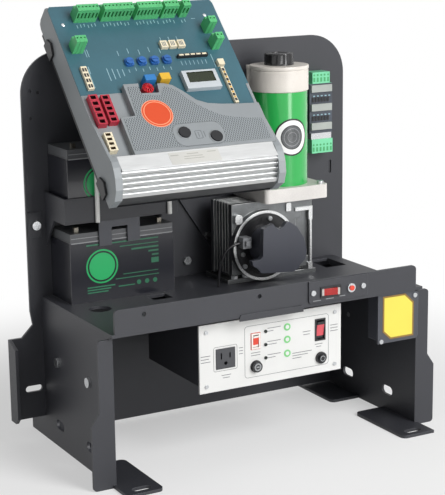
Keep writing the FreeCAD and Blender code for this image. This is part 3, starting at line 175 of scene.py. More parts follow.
def surface(name, base, rough, metallic=0.0, ior=1.5, grain=1.0, relief=0.02, mottle=0.08,
            corner=0.5, edge=None, brushed=None, coat=0.0, spread=0.06):
    # One finish. Grain, relief and corner are in millimetres: the size of the surface's own
    # texture, its height, and the small radius that catches light on each edge. Mottle and
    # spread say how far colour and gloss vary, edge is the paler colour of the edges, partly wear
    # and partly a painted highlight, and brushed scales the texture along each axis.
    material = bpy.data.materials.new(name)
    material.use_nodes = True
    tree = material.node_tree
    shader = tree.nodes["Principled BSDF"]
    shader.inputs["Metallic"].default_value = metallic
    if not metallic:
        shader.inputs["IOR"].default_value = ior
    shader.inputs["Coat Weight"].default_value = coat
    place = add(tree, "ShaderNodeTexCoord").outputs["Object"]
    if brushed:
        place = add(tree, "ShaderNodeMapping", {"Vector": place, "Scale": brushed}).outputs[0]
    broad = add(tree, "ShaderNodeTexNoise", {"Vector": place, "Scale": 18, "Detail": 4})
    fine = add(tree, "ShaderNodeTexNoise", {"Vector": place, "Scale": 1 / (grain * MM),
                                            "Detail": 3})
    shade = add(tree, "ShaderNodeMapRange",
                {"Value": broad.outputs["Fac"], "From Min": 0.3, "From Max": 0.7,
                 "To Min": 1 - mottle, "To Max": 1 + mottle})
    speck = add(tree, "ShaderNodeMapRange",
                {"Value": fine.outputs["Fac"], "From Min": 0.3, "From Max": 0.7,
                 "To Min": 1 - mottle / 2, "To Max": 1 + mottle / 2})
    shade = add(tree, "ShaderNodeMath", {0: shade.outputs[0], 1: speck.outputs[0]},
                operation="MULTIPLY")
    colour = add(tree, "ShaderNodeMix", {0: 1.0, 6: tint(base), 7: shade.outputs[0]},
                 data_type="RGBA", blend_type="MULTIPLY").outputs[2]
    bevel = add(tree, "ShaderNodeBevel", {"Radius": corner * MM}, samples=4)
    # Edges take the paler edge colour: partly wear, partly a painted highlight along each edge.
    if edge:
        facing = add(tree, "ShaderNodeNewGeometry")
        alike = add(tree, "ShaderNodeVectorMath", {0: bevel.outputs[0],
                                                   1: facing.outputs["Normal"]},
                    operation="DOT_PRODUCT")
        edge_wear_and_highlight = add(tree, "ShaderNodeMapRange", {"Value": alike.outputs["Value"],
                                                "From Min": 0.995, "From Max": 0.85})
        edge_wear_and_highlight = add(tree, "ShaderNodeMath", {0: edge_wear_and_highlight.outputs[0], 1: broad.outputs["Fac"]},
                   operation="MULTIPLY")
        colour = add(tree, "ShaderNodeMix", {0: edge_wear_and_highlight.outputs[0], 6: colour, 7: tint(edge)},
                     data_type="RGBA").outputs[2]
    tree.links.new(colour, shader.inputs["Base Color"])
    gloss = add(tree, "ShaderNodeMapRange",
                {"Value": fine.outputs["Fac"], "From Min": 0.3, "From Max": 0.7,
                 "To Min": max(rough - spread, 0.02), "To Max": rough + spread})
    tree.links.new(gloss.outputs[0], shader.inputs["Roughness"])
    bump = add(tree, "ShaderNodeBump", {"Height": fine.outputs["Fac"], "Distance": relief * MM,
                                        "Normal": bevel.outputs[0]})
    tree.links.new(bump.outputs[0], shader.inputs["Normal"])
    return material


def dress(material, *names):
    # Gives one finish to the whole of each node.
    for name in names:
        slots = nodes[name].data.materials
        slots.clear()
        slots.append(material)
        nodes[name].data.polygons.foreach_set(
            "material_index", [0] * len(nodes[name].data.polygons))


powder_coat = surface("powder_coated_steel", "333439", 0.5, grain=1.6, relief=0.03, corner=0.7,
                      mottle=0.06, edge="66676c")
dress(powder_coat, "left_side_panel", "right_side_panel", "shelf", "back_plate", "battery_tray",
      "gear_mount_plate", "power_box_case", "switch_bracket")
# The grey coat's paler edges, too, are partly wear and partly a painted highlight.
cover_coat = surface("grey_powder_coated_steel", "44464d", 0.42, grain=1.6, relief=0.03,
                     corner=0.9, mottle=0.06, edge="8a8c92")
dress(cover_coat, "junction_cover", "battery_clamp")


# Batteries: two sealed blocks in smooth black ABS with a duller lid welded on, and spade tags of
# tinned brass. The lid's paler grey is partly its own and partly a painted sheen, the pale edges
# are partly wear and partly a painted highlight, and two pale lines on the lid's front are a
# painted highlight along its ridge. The front has matt screen print, a green disc and bars.
def joined(mesh, one, two):
    # The faces between two closed loops with as many points each.
    made = []
    for i in range(len(one)):
        j = (i + 1) % len(one)
        made.append(mesh.faces.new((one[i], one[j], two[j], two[i])))
    return made


def flat_shape(mesh, outline, low, high):
    # A thin prism over a closed outline, in the mesh's own third axis.
    under = [mesh.verts.new((x, y, low)) for x, y in outline]
    over = [mesh.verts.new((x, y, high)) for x, y in outline]
    ends = [mesh.faces.new(over), mesh.faces.new(under[::-1])]
    return ends + joined(mesh, under, over)


def circle(x, y, rad, steps=48):
    # An outline of points round a centre.
    angles = [2 * math.pi * i / steps for i in range(steps)]
    return [(x + rad * math.cos(angle), y + rad * math.sin(angle)) for angle in angles]


def bar(x, y, wide, tall):
    # An oblong outline from its lower left corner.
    return [(x, y), (x + wide, y), (x + wide, y + tall), (x, y + tall)]


def round_rect(x, y, wide, tall, rad, steps=6):
    # The same with rounded corners.
    points = []
    for cx, cy, start in ((x + wide - rad, y + rad, -90), (x + wide - rad, y + tall - rad, 0),
                          (x + rad, y + tall - rad, 90), (x + rad, y + rad, 180)):
        for i in range(steps + 1):
            angle = math.radians(start + 90 * i / steps)
            points.append((cx + rad * math.cos(angle), cy + rad * math.sin(angle)))
    return points


def band(mesh, inner, outer, low, high):
    # A flat ring between two outlines with as many points each.
    loops = [[mesh.verts.new((x, y, z)) for x, y in shape]
             for shape, z in ((inner, low), (outer, low), (outer, high), (inner, high))]
    made = []
    for one, two in zip(loops, loops[1:] + loops[:1]):
        made += joined(mesh, two, one)
    return made


def piece(name, mesh, place, body, *materials, smooth=False):
    # Turns a finished mesh, drawn in millimetres, into a named piece that rides on a body.
    mesh.transform(place @ Matrix.Scale(MM, 4))
    bmesh.ops.recalc_face_normals(mesh, faces=mesh.faces)
    data = bpy.data.meshes.new(name)
    mesh.to_mesh(data)
    mesh.free()
    for material in materials:
        data.materials.append(material)
    if smooth:
        data.shade_smooth()
        data.set_sharp_from_angle(angle=math.radians(35))
    item = bpy.data.objects.new(name, data)
    scene.collection.objects.link(item)
    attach(item, body)
    return item


def printed(name, shapes, place, body, material, low=0.02, high=0.18):
    # Ink or a thin label as raised flat shapes.
    mesh = bmesh.new()
    for shape in shapes:
        if isinstance(shape, tuple):
            band(mesh, shape[0], shape[1], low, high)
        else:
            flat_shape(mesh, shape, low, high)
    return piece(name, mesh, place, body, material)


def on_front(y):
    # Drawing plane that faces the front: across is X, up is Z, out of the plane is -Y.
    return Matrix.Translation((0, y * MM, 0)) @ Matrix.Rotation(math.pi / 2, 4, "X")


def ink(name, code, rough, grain=0.5, mottle=0.08):
    # Screen print or offset ink: flat, even and without an edge of its own.
    return surface(name, code, rough, grain=grain, relief=0.004, mottle=mottle, corner=0.05)


# Pale edges on the cases: partly wear, partly a painted highlight.
battery_black = surface("battery_abs", "25262d", 0.24, ior=1.53, grain=1.2, relief=0.005,
                        corner=1.2, edge="a0a0a2", mottle=0.04, spread=0.02)
# The lid's grey is partly its own duller grey, partly a painted sheen.
battery_lid_and_sheen = surface("battery_lid_abs_and_sheen", "56585b", 0.4, ior=1.53, grain=1.2, relief=0.02,
                      corner=0.8, edge="9a9a9a")
tinned = surface("tinned_brass", "7b776e", 0.42, metallic=1.0, grain=0.5, relief=0.005)
green_ink = ink("green_ink", "21b266", 0.45, mottle=0.12)
dark_ink = ink("dark_green_ink", "2c7a57", 0.5, mottle=0.2)
# Two pale lines along the lid's front: a painted highlight.
painted_lid_highlight = surface("painted_lid_highlight_abs", "9fa0a3", 0.35, ior=1.53, grain=0.6, relief=0.004,
                    corner=0.1)
dress(battery_black, "lower_battery", "upper_battery")
dress(tinned, "battery_terminals")


def repaint(name, material, chosen, place=None):
    # Gives another finish to the faces of a node whose middle is in the chosen region, in mm.
    data = nodes[name].data
    data.materials.append(material)
    number = len(data.materials) - 1
    back = (place or Matrix.Identity(4)).inverted()
    for face in data.polygons:
        if chosen(*((back @ face.center) / MM)):
            face.material_index = number


battery_front = on_front(42.7)
battery_left, battery_long, lid_seam = -214, 147, 81
for name, low in (("lower_battery", 200), ("upper_battery", 311)):
    repaint(name, battery_lid_and_sheen, lambda x, y, z, low=low: z > low + lid_seam + 0.5)
    disc = (-171, low + 47)
    printed(name + "_disc", [circle(*disc, 18.5), (circle(*disc, 20.8), circle(*disc, 23))],
            battery_front, "frame", green_ink)
    printed(name + "_lid_highlight_lines", [bar(battery_left, low + lid_seam, battery_long, 1.3),
                                   bar(battery_left, low + lid_seam + 6.5, battery_long, 0.9)],
            battery_front, "frame", painted_lid_highlight, 0.02, 0.3)
marks = [bar(-193, 276, 105, 1.6), bar(-145, 270, 57, 1.2), bar(-128, 264, 40, 2.2),
         bar(-103, 258.5, 15, 2.2), bar(-98, 253, 10, 2.2), bar(-99, 243, 11, 7),
         bar(-141, 232, 52, 1.0), bar(-152, 226.5, 64, 1.2), bar(-193, 219, 40, 1.6),
         bar(-193, 215.5, 34, 1.6), bar(-193, 212, 30, 1.6), bar(-148, 216, 24, 1.4),
         circle(-118, 219, 3.2, 20), circle(-106, 219, 3.2, 20), circle(-94, 219, 3.2, 20)]
printed("lower_battery_bars", marks, battery_front, "frame", dark_ink)

# Props and hinge seats that carry the control box, and all bolts: zinc plated steel with a soft
# pale shine. The props are round bar, in a satin white PVC sleeve up to sleeve_top.
sleeve_back, sleeve_top = 40, 455
zinc = surface("zinc_plated_steel", "c6c8ca", 0.3, metallic=1.0, grain=0.8, relief=0.01,
               mottle=0.1, corner=0.4)
dress(zinc, "box_supports", "fasteners")
prop_white = surface("white_pvc_sleeve", "e9e9e6", 0.4, grain=0.8, relief=0.01, corner=0.4)
repaint("box_supports", prop_white, lambda x, y, z: y < sleeve_back and z < sleeve_top)

# Gear case: die cast aluminium, shot blasted to a coarse grey skin whose edges are painted near
# white, partly rubbed bright and partly a painted highlight. The boss, the raised rim at the
# right and two lugs are milled smooth and shine evenly.
cast = surface("cast_aluminium", "6f7172", 0.42, metallic=1.0, grain=1.4, relief=0.14,
               mottle=0.3, corner=1.3, edge="f4f4f2", spread=0.12)
machined = surface("machined_aluminium", "dcdddd", 0.3, metallic=1.0, grain=0.9, relief=0.008,
                   mottle=0.05, corner=0.8)
dress(cast, "gearbox_housing", "gearbox_cover", "gearbox_foot")
boss_back, case_front = 21, on_front(30)
repaint("gearbox_housing", machined, lambda x, y, z: y < boss_back)
rim = [(118, 291.5), (118, 297), (146, 297), (146, 278), (145, 277), (145, 217), (146, 216),
       (146, 207), (139, 207), (139, 216), (141.6, 217), (141.6, 277), (140, 278), (140, 291.5)]
printed("gear_case_rim", [rim], case_front, "frame", machined, -0.3, 2.6)
case_lug = bmesh.new()
flat_shape(case_lug, round_rect(20, 284, 11, 13, 4), -0.5, 7)
flat_shape(case_lug, round_rect(103, 293, 8, 12, 1.5), -0.5, 3)
piece("gear_case_lug", case_lug, case_front, "frame", machined)

# Motor: a rolled steel tube in glossy green enamel, which throws back one sharp line of light. It
# stands on a cast flange with a coarse pale paint. Magnets and a copper winding are inside.
motor_x, motor_y, tube_radius = 109, 55, 39
flange_paint = surface("silver_paint", "d9d5d1", 0.4, grain=2.0, relief=0.12, corner=1.2)
enamel = surface("green_enamel", "21a94b", 0.25, grain=1.2, relief=0.002, mottle=0.01,
                 corner=0.3, coat=0.6, spread=0.02)
magnet_grey = surface("ferrite", "3a3a3c", 0.6, grain=0.6, relief=0.05)
winding = surface("enamelled_copper_wire", "9b4a22", 0.35, metallic=0.7, grain=0.8, relief=0.1)
dress(flange_paint, "motor_flange")
dress(enamel, "motor_tube")
dress(magnet_grey, "motor_magnets")
dress(winding, "armature")


# End bell: cast and painted a smooth warm grey, a plain skirt under a flat lid. Two ears at the
# lid's edge carry long bolts, each in a round boss down the side.
def turned(mesh, profile, steps=72, wave=0.0, teeth=1):
    # Turns a profile of radius, height and grooved or not about the motor's axis. The grooves
    # are as deep as wave, and there are as many as teeth.
    loops = []
    for rad, height, grooved in profile:
        loop = []
        for i in range(steps):
            angle = 2 * math.pi * i / steps
            out = rad - (wave * (0.5 - 0.5 * math.cos(teeth * angle)) if grooved else 0)
            loop.append(mesh.verts.new((motor_x + out * math.cos(angle),
                                        motor_y + out * math.sin(angle), height)))
        loops.append(loop)
    for one, two in zip(loops, loops[1:]):
        joined(mesh, one, two)
    mesh.faces.new(loops[0][::-1])
    mesh.faces.new(loops[-1])


bell_paint = surface("grey_bell_paint", "d8d2ca", 0.36, relief=0.05, corner=1.0)
bell = bmesh.new()
turned(bell, [(39.5, 459, 0), (40.6, 460, 0), (40.6, 487.2, 0), (40, 487.8, 0), (40, 488.6, 0),
              (40.8, 489, 0), (41, 489.6, 0), (41, 493, 0), (40.4, 493.9, 0), (24, 494, 0)])
middle, ear_root, ear_radius = Vector((motor_x, motor_y)), 30, 6
bolt_foot, ear_under, ear_top = 462, 489, 493.6
for toward, far in ((151, 39.5), (-29, 34.5)):
    aim = Vector((math.cos(math.radians(toward)), math.sin(math.radians(toward))))
    side = Vector((-aim.y, aim.x))
    ear = [middle + aim * ear_root - side * 9]
    for i in range(13):
        angle = math.radians(-90 + 15 * i)
        ear.append(middle + aim * (far + ear_radius * math.cos(angle))
                   + side * ear_radius * math.sin(angle))
    ear.append(middle + aim * ear_root + side * 9)
    flat_shape(bell, [(spot.x, spot.y) for spot in ear], ear_under, ear_top)
    boss = middle + aim * (far + 2)
    flat_shape(bell, circle(boss.x, boss.y, 3.4, 20), bolt_foot, ear_under)
bell = piece("end_bell_casting", bell, Matrix.Identity(4), "frame", bell_paint, smooth=True)
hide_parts("motor_end_bell")

# Cap over the end of the motor's shaft: moulded in black ABS, pushed on, with twelve upright
# grips. Its shine is a little softer than the enamel's.
cap_black = surface("black_abs", "1c1c1e", 0.25, ior=1.53, grain=0.8, relief=0.01)
cap = bmesh.new()
turned(cap, [(20.4, 493.8, 0), (20.4, 495.5, 0), (20.2, 496, 1), (20, 508, 1), (19.8, 508.6, 0),
             (19, 510, 0), (12, 510, 0), (11.6, 509, 0)], 96, 0.9, 12)
cap = piece("end_bell_cap", cap, Matrix.Identity(4), "frame", cap_black, smooth=True)
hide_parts("motor_cap")

# Badge on the tube: a thin printed label with a black edge, a white ring and a grey disc, in flat
# inks a little duller than the enamel. It is drawn flat, then bent round the tube and turned from
# the front by badge_turn.
badge_height, badge_turn, label_under, label_over = 398, math.radians(-3.5), 0.05, 0.3
white_ink = ink("white_label_ink", "f2f2f0", 0.4, mottle=0.03)
black_ink = ink("black_label_ink", "161718", 0.35)
grey_ink = ink("grey_label_ink", "5f6163", 0.3, grain=0.9, mottle=0.3)
pale_ink = ink("pale_grey_label_ink", "8d8f91", 0.3, grain=0.9, mottle=0.2)
badge = bmesh.new()
for inner, outer, slot in ((23.4, 25.6, 0), (16.8, 23.4, 1), (15.6, 16.8, 0), (12.6, 15.6, 2),
                           (11.4, 12.6, 3), (7.2, 11.4, 2), (6.4, 7.2, 3), (0.2, 6.4, 2)):
    for face in band(badge, circle(0, 0, inner, 64), circle(0, 0, outer, 64), label_under,
                     label_over):
        face.material_index = slot
for point in badge.verts:
    across, up, lift = point.co
    bend, out = badge_turn + across / tube_radius, tube_radius + lift
    point.co = (motor_x + out * math.sin(bend), motor_y - out * math.cos(bend), badge_height + up)
piece("motor_badge", badge, Matrix.Identity(4), "frame", black_ink, white_ink, grey_ink,
      pale_ink)

# Shafts, worm, wheel, bearings and sprocket: ground steel with a clean shine, a worm wheel cast in
# bronze and turned, and a sprocket of oiled steel, dark and uneven.
ground = surface("ground_steel", "7d7f82", 0.28, metallic=1.0, grain=0.6, relief=0.01)
bronze = surface("phosphor_bronze", "a8743a", 0.35, metallic=1.0, grain=0.8, relief=0.02)
oiled = surface("oiled_sprocket_steel", "4a4a4c", 0.4, metallic=1.0, grain=1.2, relief=0.03,
                mottle=0.2)
dress(ground, "output_shaft", "worm_shaft", "bearings")
dress(bronze, "worm_wheel")
dress(oiled, "drive_sprocket")

# Limit switch unit: a ribbed base in black glass-filled nylon, a dull grey ABS cover screwed over
# it, a grey sensor pushed into its side, and the sensor's lead, which hangs down to the shelf.
nylon = surface("black_nylon", "121215", 0.34, ior=1.53, grain=0.9, relief=0.03, corner=0.4)
# Paler edges on the cover: partly wear, partly a painted highlight.
cover_grey = surface("dark_grey_abs", "3b3d46", 0.42, ior=1.53, grain=0.7, relief=0.03,
                     corner=0.6, edge="8d8f96")
sensor_grey = surface("grey_abs", "77797c", 0.45, ior=1.53, grain=0.6, relief=0.02, corner=0.3)
pvc = surface("black_pvc", "17171a", 0.38, ior=1.53, grain=1.2, relief=0.02)
dress(nylon, "limit_base", "limit_dial")
dress(cover_grey, "limit_cover")
dress(sensor_grey, "limit_sensor")
lead_radius = 1.7
lead_route = ((23, 15, 260), (7, 15, 259), (-2, 20, 242), (-6, 25, 221), (-6, 26, 200.2))
lead = bpy.data.curves.new("limit_sensor_lead", "CURVE")
lead.dimensions = "3D"
lead.bevel_depth = lead_radius * MM
lead.bevel_resolution = 4
lead.resolution_u = 16
lead.use_fill_caps = True
run = lead.splines.new("NURBS")
run.points.add(len(lead_route) - 1)
for point, spot in zip(run.points, lead_route):
    point.co = (*(value * MM for value in spot), 1)
run.order_u = 3
run.use_endpoint_u = True
lead.materials.append(pvc)
lead = bpy.data.objects.new("limit_sensor_lead", lead)
scene.collection.objects.link(lead)
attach(lead, "frame")
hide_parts("sensor_cable")
boss_middle, rib_inner, rib_outer, rib_half = Vector((64, 251)), 31, 41, 0.35
ribs = bmesh.new()
for step in range(52):
    angle = math.radians(95 + step * 3.4)
    along = Vector((math.cos(angle), math.sin(angle)))
    side = Vector((-along.y, along.x)) * rib_half
    near, end = boss_middle + along * rib_inner, boss_middle + along * rib_outer
    corners = (near + side, end + side, end - side, near - side)
    flat_shape(ribs, [(spot.x, spot.y) for spot in corners], -0.1, 0.5)
piece("limit_base_ribs", ribs, on_front(22), "frame", nylon)

# Control box: a housing moulded in satin grey ABS, screwed on a folded tray and tilted back 46
# degrees. What is on it is drawn flat, across, up the slope and out, then set on the slope. The
# tray has a darker, duller coat than the frame. Below the housing on its left side a dark strip
# stands partly for the tray's hem and partly for painted shade under the housing.
lean = math.radians(46)
slope = Matrix.Translation((-0.213, -0.064447, 0.362398)) @ Matrix.Rotation(lean, 4, "X")


def on_slope(height):
    # Drawing plane that lies on the box at a height above the tray's sheet, in mm.
    return slope @ Matrix.Translation((0, 0, height * MM))


cover_sunk, cover_top = 46.05, 46.5
# Housing and tray edges are painted paler: partly wear, partly a painted highlight.
housing_grey = surface("grey_housing_abs", "8d9295", 0.48, ior=1.53, grain=0.8, relief=0.05,
                       corner=1.2, mottle=0.05, edge="c6cacc")
dress(housing_grey, "control_housing")
tray_coat = surface("black_powder_coated_steel", "1a1b1e", 0.45, grain=1.6, relief=0.03,
                    corner=0.7, mottle=0.06, edge="3c3d40")
dress(tray_coat, "control_tray")
# Dark strip under the housing's left side: the hem and painted shade.
hem_and_shade = bmesh.new()
flat_shape(hem_and_shade, [(0, 12), (2.2, 12), (2.2, 258), (0, 258)], -4, 0.3)
piece("tray_hem_and_shade", hem_and_shade, slope, "control_box", tray_coat)


def pitted(name, base, painted_shade, pitch, steep):
    # Moulded mesh texture: crossed waves in the plane of the sloping face, as fine pits that are
    # also painted darker with their depth, as painted shade. The real pits are finer, and are
    # drawn as coarse as the picture can still show.
    material = surface(name, base, 0.5, ior=1.53, grain=0.8, relief=0.02, corner=0.3)
    tree = material.node_tree
    shader = tree.nodes["Principled BSDF"]
    place = add(tree, "ShaderNodeTexCoord").outputs["Object"]
    flat = add(tree, "ShaderNodeMapping", {"Vector": place, "Rotation": (-lean, 0, 0)})
    parts = add(tree, "ShaderNodeSeparateXYZ", {0: flat.outputs[0]})
    waves = []
    for share in (steep, -steep):
        tilt = add(tree, "ShaderNodeMath", {0: parts.outputs[1], 1: share}, operation="MULTIPLY")
        line = add(tree, "ShaderNodeMath", {0: parts.outputs[0], 1: tilt.outputs[0]})
        turns = add(tree, "ShaderNodeMath", {0: line.outputs[0], 1: 2 * math.pi / (pitch * MM)},
                    operation="MULTIPLY")
        waves.append(add(tree, "ShaderNodeMath", {0: turns.outputs[0]}, operation="SINE"))
    pits = add(tree, "ShaderNodeMath", {0: waves[0].outputs[0], 1: waves[1].outputs[0]})
    depth = add(tree, "ShaderNodeMapRange", {"Value": pits.outputs[0], "From Min": -0.3,
                                             "From Max": 1.3})
    # The pits are painted darker with their depth: painted shade.
    colour = add(tree, "ShaderNodeMix", {0: depth.outputs[0], 6: tint(base), 7: tint(painted_shade)},
                 data_type="RGBA")
    tree.links.new(colour.outputs[2], shader.inputs["Base Color"])
    bump = add(tree, "ShaderNodeBump", {"Height": depth.outputs[0], "Distance": 0.25 * MM},
               invert=True)
    tree.links.new(bump.outputs[0], shader.inputs["Normal"])
    return material


texture = pitted("pitted_housing_abs", "8e9497", "4c5256", 3.4, 0.62)
inlay = bmesh.new()
flat_shape(inlay, [(61.4, 128.7), (76.7, 128.5), (76.8, 114.4), (102.8, 112.1), (109.9, 125),
                   (118, 123.4), (126, 118.3), (132.6, 110), (138.7, 101.7), (147, 93),
                   (156, 85.9), (165, 79.2), (174.6, 73.5), (190, 69), (210, 65.6), (231, 63.2),
                   (231, 31.2), (38.1, 31.4), (40.1, 79.7), (58.9, 81.3)], cover_sunk, cover_top)
piece("textured_inlay", inlay, slope, "control_box", texture)
# A darker grey for the line round the button plate and the switch slots: painted shade in the
# grooves.
shadow_line = surface("painted_groove_shade_abs", "74797c", 0.6, ior=1.53, grain=0.8, relief=0.02,
                      corner=0.1)
plate_edge = round_rect(98, 30.8, 70, 34, 13, 8)
printed("button_plate_line", [(plate_edge, round_rect(97.2, 30, 71.6, 35.6, 13.8, 8))],
        on_slope(cover_top), "control_box", shadow_line, 0, 0.2)
printed("button_plate", [plate_edge], on_slope(cover_top), "control_box", housing_grey, 0, 0.12)
# The small marks beside the buttons take the same darker grey.
marks = [(round_rect(128, 41, 8, 11, 1), round_rect(127.2, 40.2, 9.6, 12.6, 1.6)),
         bar(139.5, 42, 0.9, 9), bar(131.4, 43, 0.8, 7)]
printed("button_marks", marks, on_slope(46.6), "control_box", shadow_line, 0, 0.25)

# Circuit board: glass epoxy under a satin teal solder mask, held by two bright nickel plated
# screws, with a pale printed legend, here plain ticks.
board_plane = on_slope(36.8)
mask = surface("teal_solder_mask", "38626f", 0.38, grain=3.0, relief=0.01, mottle=0.07, corner=0.2)
legend = ink("legend_ink", "8fb0bb", 0.5, grain=0.4)
dress(mask, "circuit_board")
ticks = []
for start, count in ((31, 6), (68, 8), (116, 7), (155, 4), (182, 2)):
    for step in range(count):
        ticks.append(bar(start + step * 5.1, 234.5 + (step % 3), 1.1, 5))
for count, start, apart, up, stagger, wide, tall in (
        (5, 72, 15, 186, 3, 1.0, 8), (7, 78, 10, 158, 2, 1.0, 5), (3, 140, 12, 206, 0, 1.0, 6),
        (7, 156, 6, 164, 0, 0.9, 7)):
    for step in range(count):
        ticks.append(bar(start + step * apart, up + (step % 2) * stagger, wide, tall))
for step in range(4):
    ticks.append(bar(48 + step * 7, 147 + step * 2, 1.1, 20 - step * 3))
ticks += [bar(28, 187, 0.9, 18), bar(31, 187, 0.9, 12), bar(22.5, 138, 0.9, 30),
          bar(198, 240, 6, 1), bar(203, 157, 1, 22), bar(24, 160, 1, 12)]
printed("board_legend", ticks, board_plane, "control_box", legend)
nickel = surface("nickel_plated_screw", "d4d6d8", 0.22, metallic=1.0, grain=0.6, relief=0.01,
                 corner=0.3)


def dome(mesh, across, up, low, rad, tall, steps=20):
    # A low domed head of three rings.
    loops = []
    for share, rise in ((1, 0), (1, 0.35), (0.72, 0.8), (0.3, 1)):
        loops.append([mesh.verts.new((x, y, low + tall * rise))
                      for x, y in circle(across, up, rad * share, steps)])
    for one, two in zip(loops, loops[1:]):
        joined(mesh, one, two)
    mesh.faces.new(loops[-1])
    mesh.faces.new(loops[0][::-1])


heads = bmesh.new()
for across, up in ((13, 241), (220, 245)):
    dome(heads, across, up, 0, 2.6, 1.6)
piece("board_screws", heads, board_plane, "control_box", nickel, smooth=True)


# Pluggable terminal blocks: moulded in satin green polyamide, with a round screw well over each
# pole and an oblong wire mouth in the tall front face. The hollows are painted a deeper, matt
# green as painted shade, and the pale edges are partly wear and partly a painted highlight.
def recess(mesh, corner, along, across, hole, deep, slot, sides=4):
    # One face with a hollow sunk in it. The face is given by a corner and its two edges, the
    # hollow by its centre and half sizes as shares of them, and deep is the way in.
    corner, along, across, deep = (Vector(item) for item in (corner, along, across, deep))
    rim = [(0, 0), (0.5, 0), (1, 0), (1, 0.5), (1, 1), (0.5, 1), (0, 1), (0, 0.5)]
    u, v, half_u, half_v = hole
    inner = []
    for x, y in rim:
        x, y = 2 * x - 1, 2 * y - 1
        if sides == 8 and x and y:
            x, y = 0.72 * x, 0.72 * y
        inner.append((u + half_u * x, v + half_v * y))
    loops = []
    for shape, sink in ((rim, 0), (inner, 0), (inner, 1)):
        loops.append([mesh.verts.new(corner + along * x + across * y + deep * sink)
                      for x, y in shape])
    # The walls and floor of the hollow take the finish slot, a darker one: painted shade.
    for number in (0, 1):
        for face in joined(mesh, loops[number], loops[number + 1]):
            face.material_index = number * slot
    mesh.faces.new(loops[2]).material_index = slot


def plug_row(mesh, across, up, long, poles, mouth=True):
    # One block, pole by pole, with its ends closed. Deep is the tall rear part, foot the low step
    # before it, both measured up the slope.
    tall, low, deep, foot = 24, 16, 10.5, 15.5
    pitch = long / poles
    for pole in range(poles):
        left = across + pole * pitch
        wide, well = pitch - 0.25, (0.5, 0.62, 0.26 * 5 / pitch, 0.14)
        recess(mesh, (left, up, tall), (wide, 0, 0), (0, deep, 0), well, (0, 0, -5), 1, 8)
        if mouth:
            recess(mesh, (left, up, 0), (wide, 0, 0), (0, 0, tall), (0.5, 0.56, 0.26, 0.22),
                   (0, 2.5, 0), 1)
        else:
            flat_shape(mesh, bar(left, up - 0.02, wide, 0.02), 0, tall)
        for x in (left, left + wide):
            side = [(up, 0), (up, tall), (up + deep, tall), (up + deep, low), (up + foot, low),
                    (up + foot, 0)]
            mesh.faces.new([mesh.verts.new((x, y, z)) for y, z in side])
        for (y, z), (v, w) in zip(side[2:], side[3:]):
            mesh.faces.new([mesh.verts.new(spot) for spot in (
                (left, y, z), (left + wide, y, z), (left + wide, v, w), (left, v, w))])


def moulded(name, code, rough, corner=0.3, edge=None):
    # Small parts moulded in nylon, polyamide or ABS, with a fine even skin.
    return surface(name, code, rough, ior=1.53, grain=0.7, relief=0.02, corner=corner, edge=edge)


terminal_green = moulded("green_polyamide", "57bd78", 0.4, corner=0.4, edge="a4e6b4")
# Deeper green in the hollows: painted shade.
terminal_hollow_shade = surface("terminal_hollow_painted_shade", "46a266", 0.6, grain=0.7, relief=0.02)
blocks = bmesh.new()
for across, long, poles in ((28.5, 30.5, 6), (66, 42, 8), (114, 35, 7), (153, 21, 4),
                            (180.5, 11, 2)):
    plug_row(blocks, across, 243.5, long, poles)
plug_row(blocks, 10, 193.6, 15, 3, mouth=False)
plug_row(blocks, 208, 213.95, 11, 2, mouth=False)
plug_row(blocks, 208, 185.9, 11, 2, mouth=False)
rows = piece("terminal_rows", blocks, board_plane, "control_box", terminal_green, terminal_hollow_shade)
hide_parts("terminal_blocks")

# Power connectors: two red five-way blocks and a cream four-way, moulded in nylon with a soft
# shine. Each socket is open, with its inside painted dark as painted shade, and has a lug for the
# plug's latch beside it.
red_nylon = moulded("red_nylon", "b3243a", 0.4)
cream = moulded("cream_nylon", "efe3c6", 0.42)
# Darker insides of the sockets: painted shade.
red_socket_shade = surface("red_socket_painted_shade", "3a070d", 0.6, grain=0.7, relief=0.02)
cream_socket_shade = surface("cream_socket_painted_shade", "5d4a30", 0.6, grain=0.7, relief=0.02)


def socket_row(mesh, across, up, wide, long, cells, slot, painted_shade):
    # One block, cell by cell up the slope. Slot is the finish outside, painted_shade the darker
    # one in the socket, painted shade.
    tall = 9
    pitch = long / cells
    side = pitch - 0.3
    corners = ((0, 0), (wide, 0), (wide, side), (0, side), (0, 0))
    for cell in range(cells):
        low = up + cell * pitch
        start = len(mesh.faces)
        recess(mesh, (across, low, tall), (wide, 0, 0), (0, side, 0), (0.46, 0.5, 0.3, 0.3),
               (0, 0, -6), 1)
        for (x, y), (v, w) in zip(corners, corners[1:]):
            mesh.faces.new([mesh.verts.new(spot) for spot in (
                (across + x, low + y, 0), (across + v, low + w, 0), (across + v, low + w, tall),
                (across + x, low + y, tall))])
        mesh.faces.ensure_lookup_table()
        for face in mesh.faces[start:]:
            face.material_index = painted_shade if face.material_index else slot
        for face in flat_shape(mesh, bar(across + wide, low + 2.4, 1.6, pitch - 5), 1, 6):
            face.material_index = slot


plugs = bmesh.new()
socket_row(plugs, 5, 75.6, 12, 46.2, 5, 0, 2)
socket_row(plugs, 21, 77.6, 12, 42.4, 5, 0, 2)
socket_row(plugs, 6, 35.5, 11, 27.5, 4, 1, 3)
plugs = piece("power_sockets", plugs, on_slope(37), "control_box", red_nylon, cream, red_socket_shade,
              cream_socket_shade)
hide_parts("power_connectors")

# Display: a pale grey ABS bezel snapped over a dark green glass, smooth enough to show a faint
# reflection of the room.
# Paler bezel edges: partly wear, partly a painted highlight.
bezel = moulded("display_bezel_abs", "c3c9cd", 0.45, corner=0.6, edge="e6eaec")
glass = surface("display_glass", "182303", 0.24, ior=1.52, grain=4, relief=0.002, mottle=0.15,
                corner=0.1)
dress(bezel, "display")
repaint("display", glass, lambda a, s, t: 151.6 < a < 191.4 and 129.6 < s < 147 and 41 < t < 43.4,
        slope)

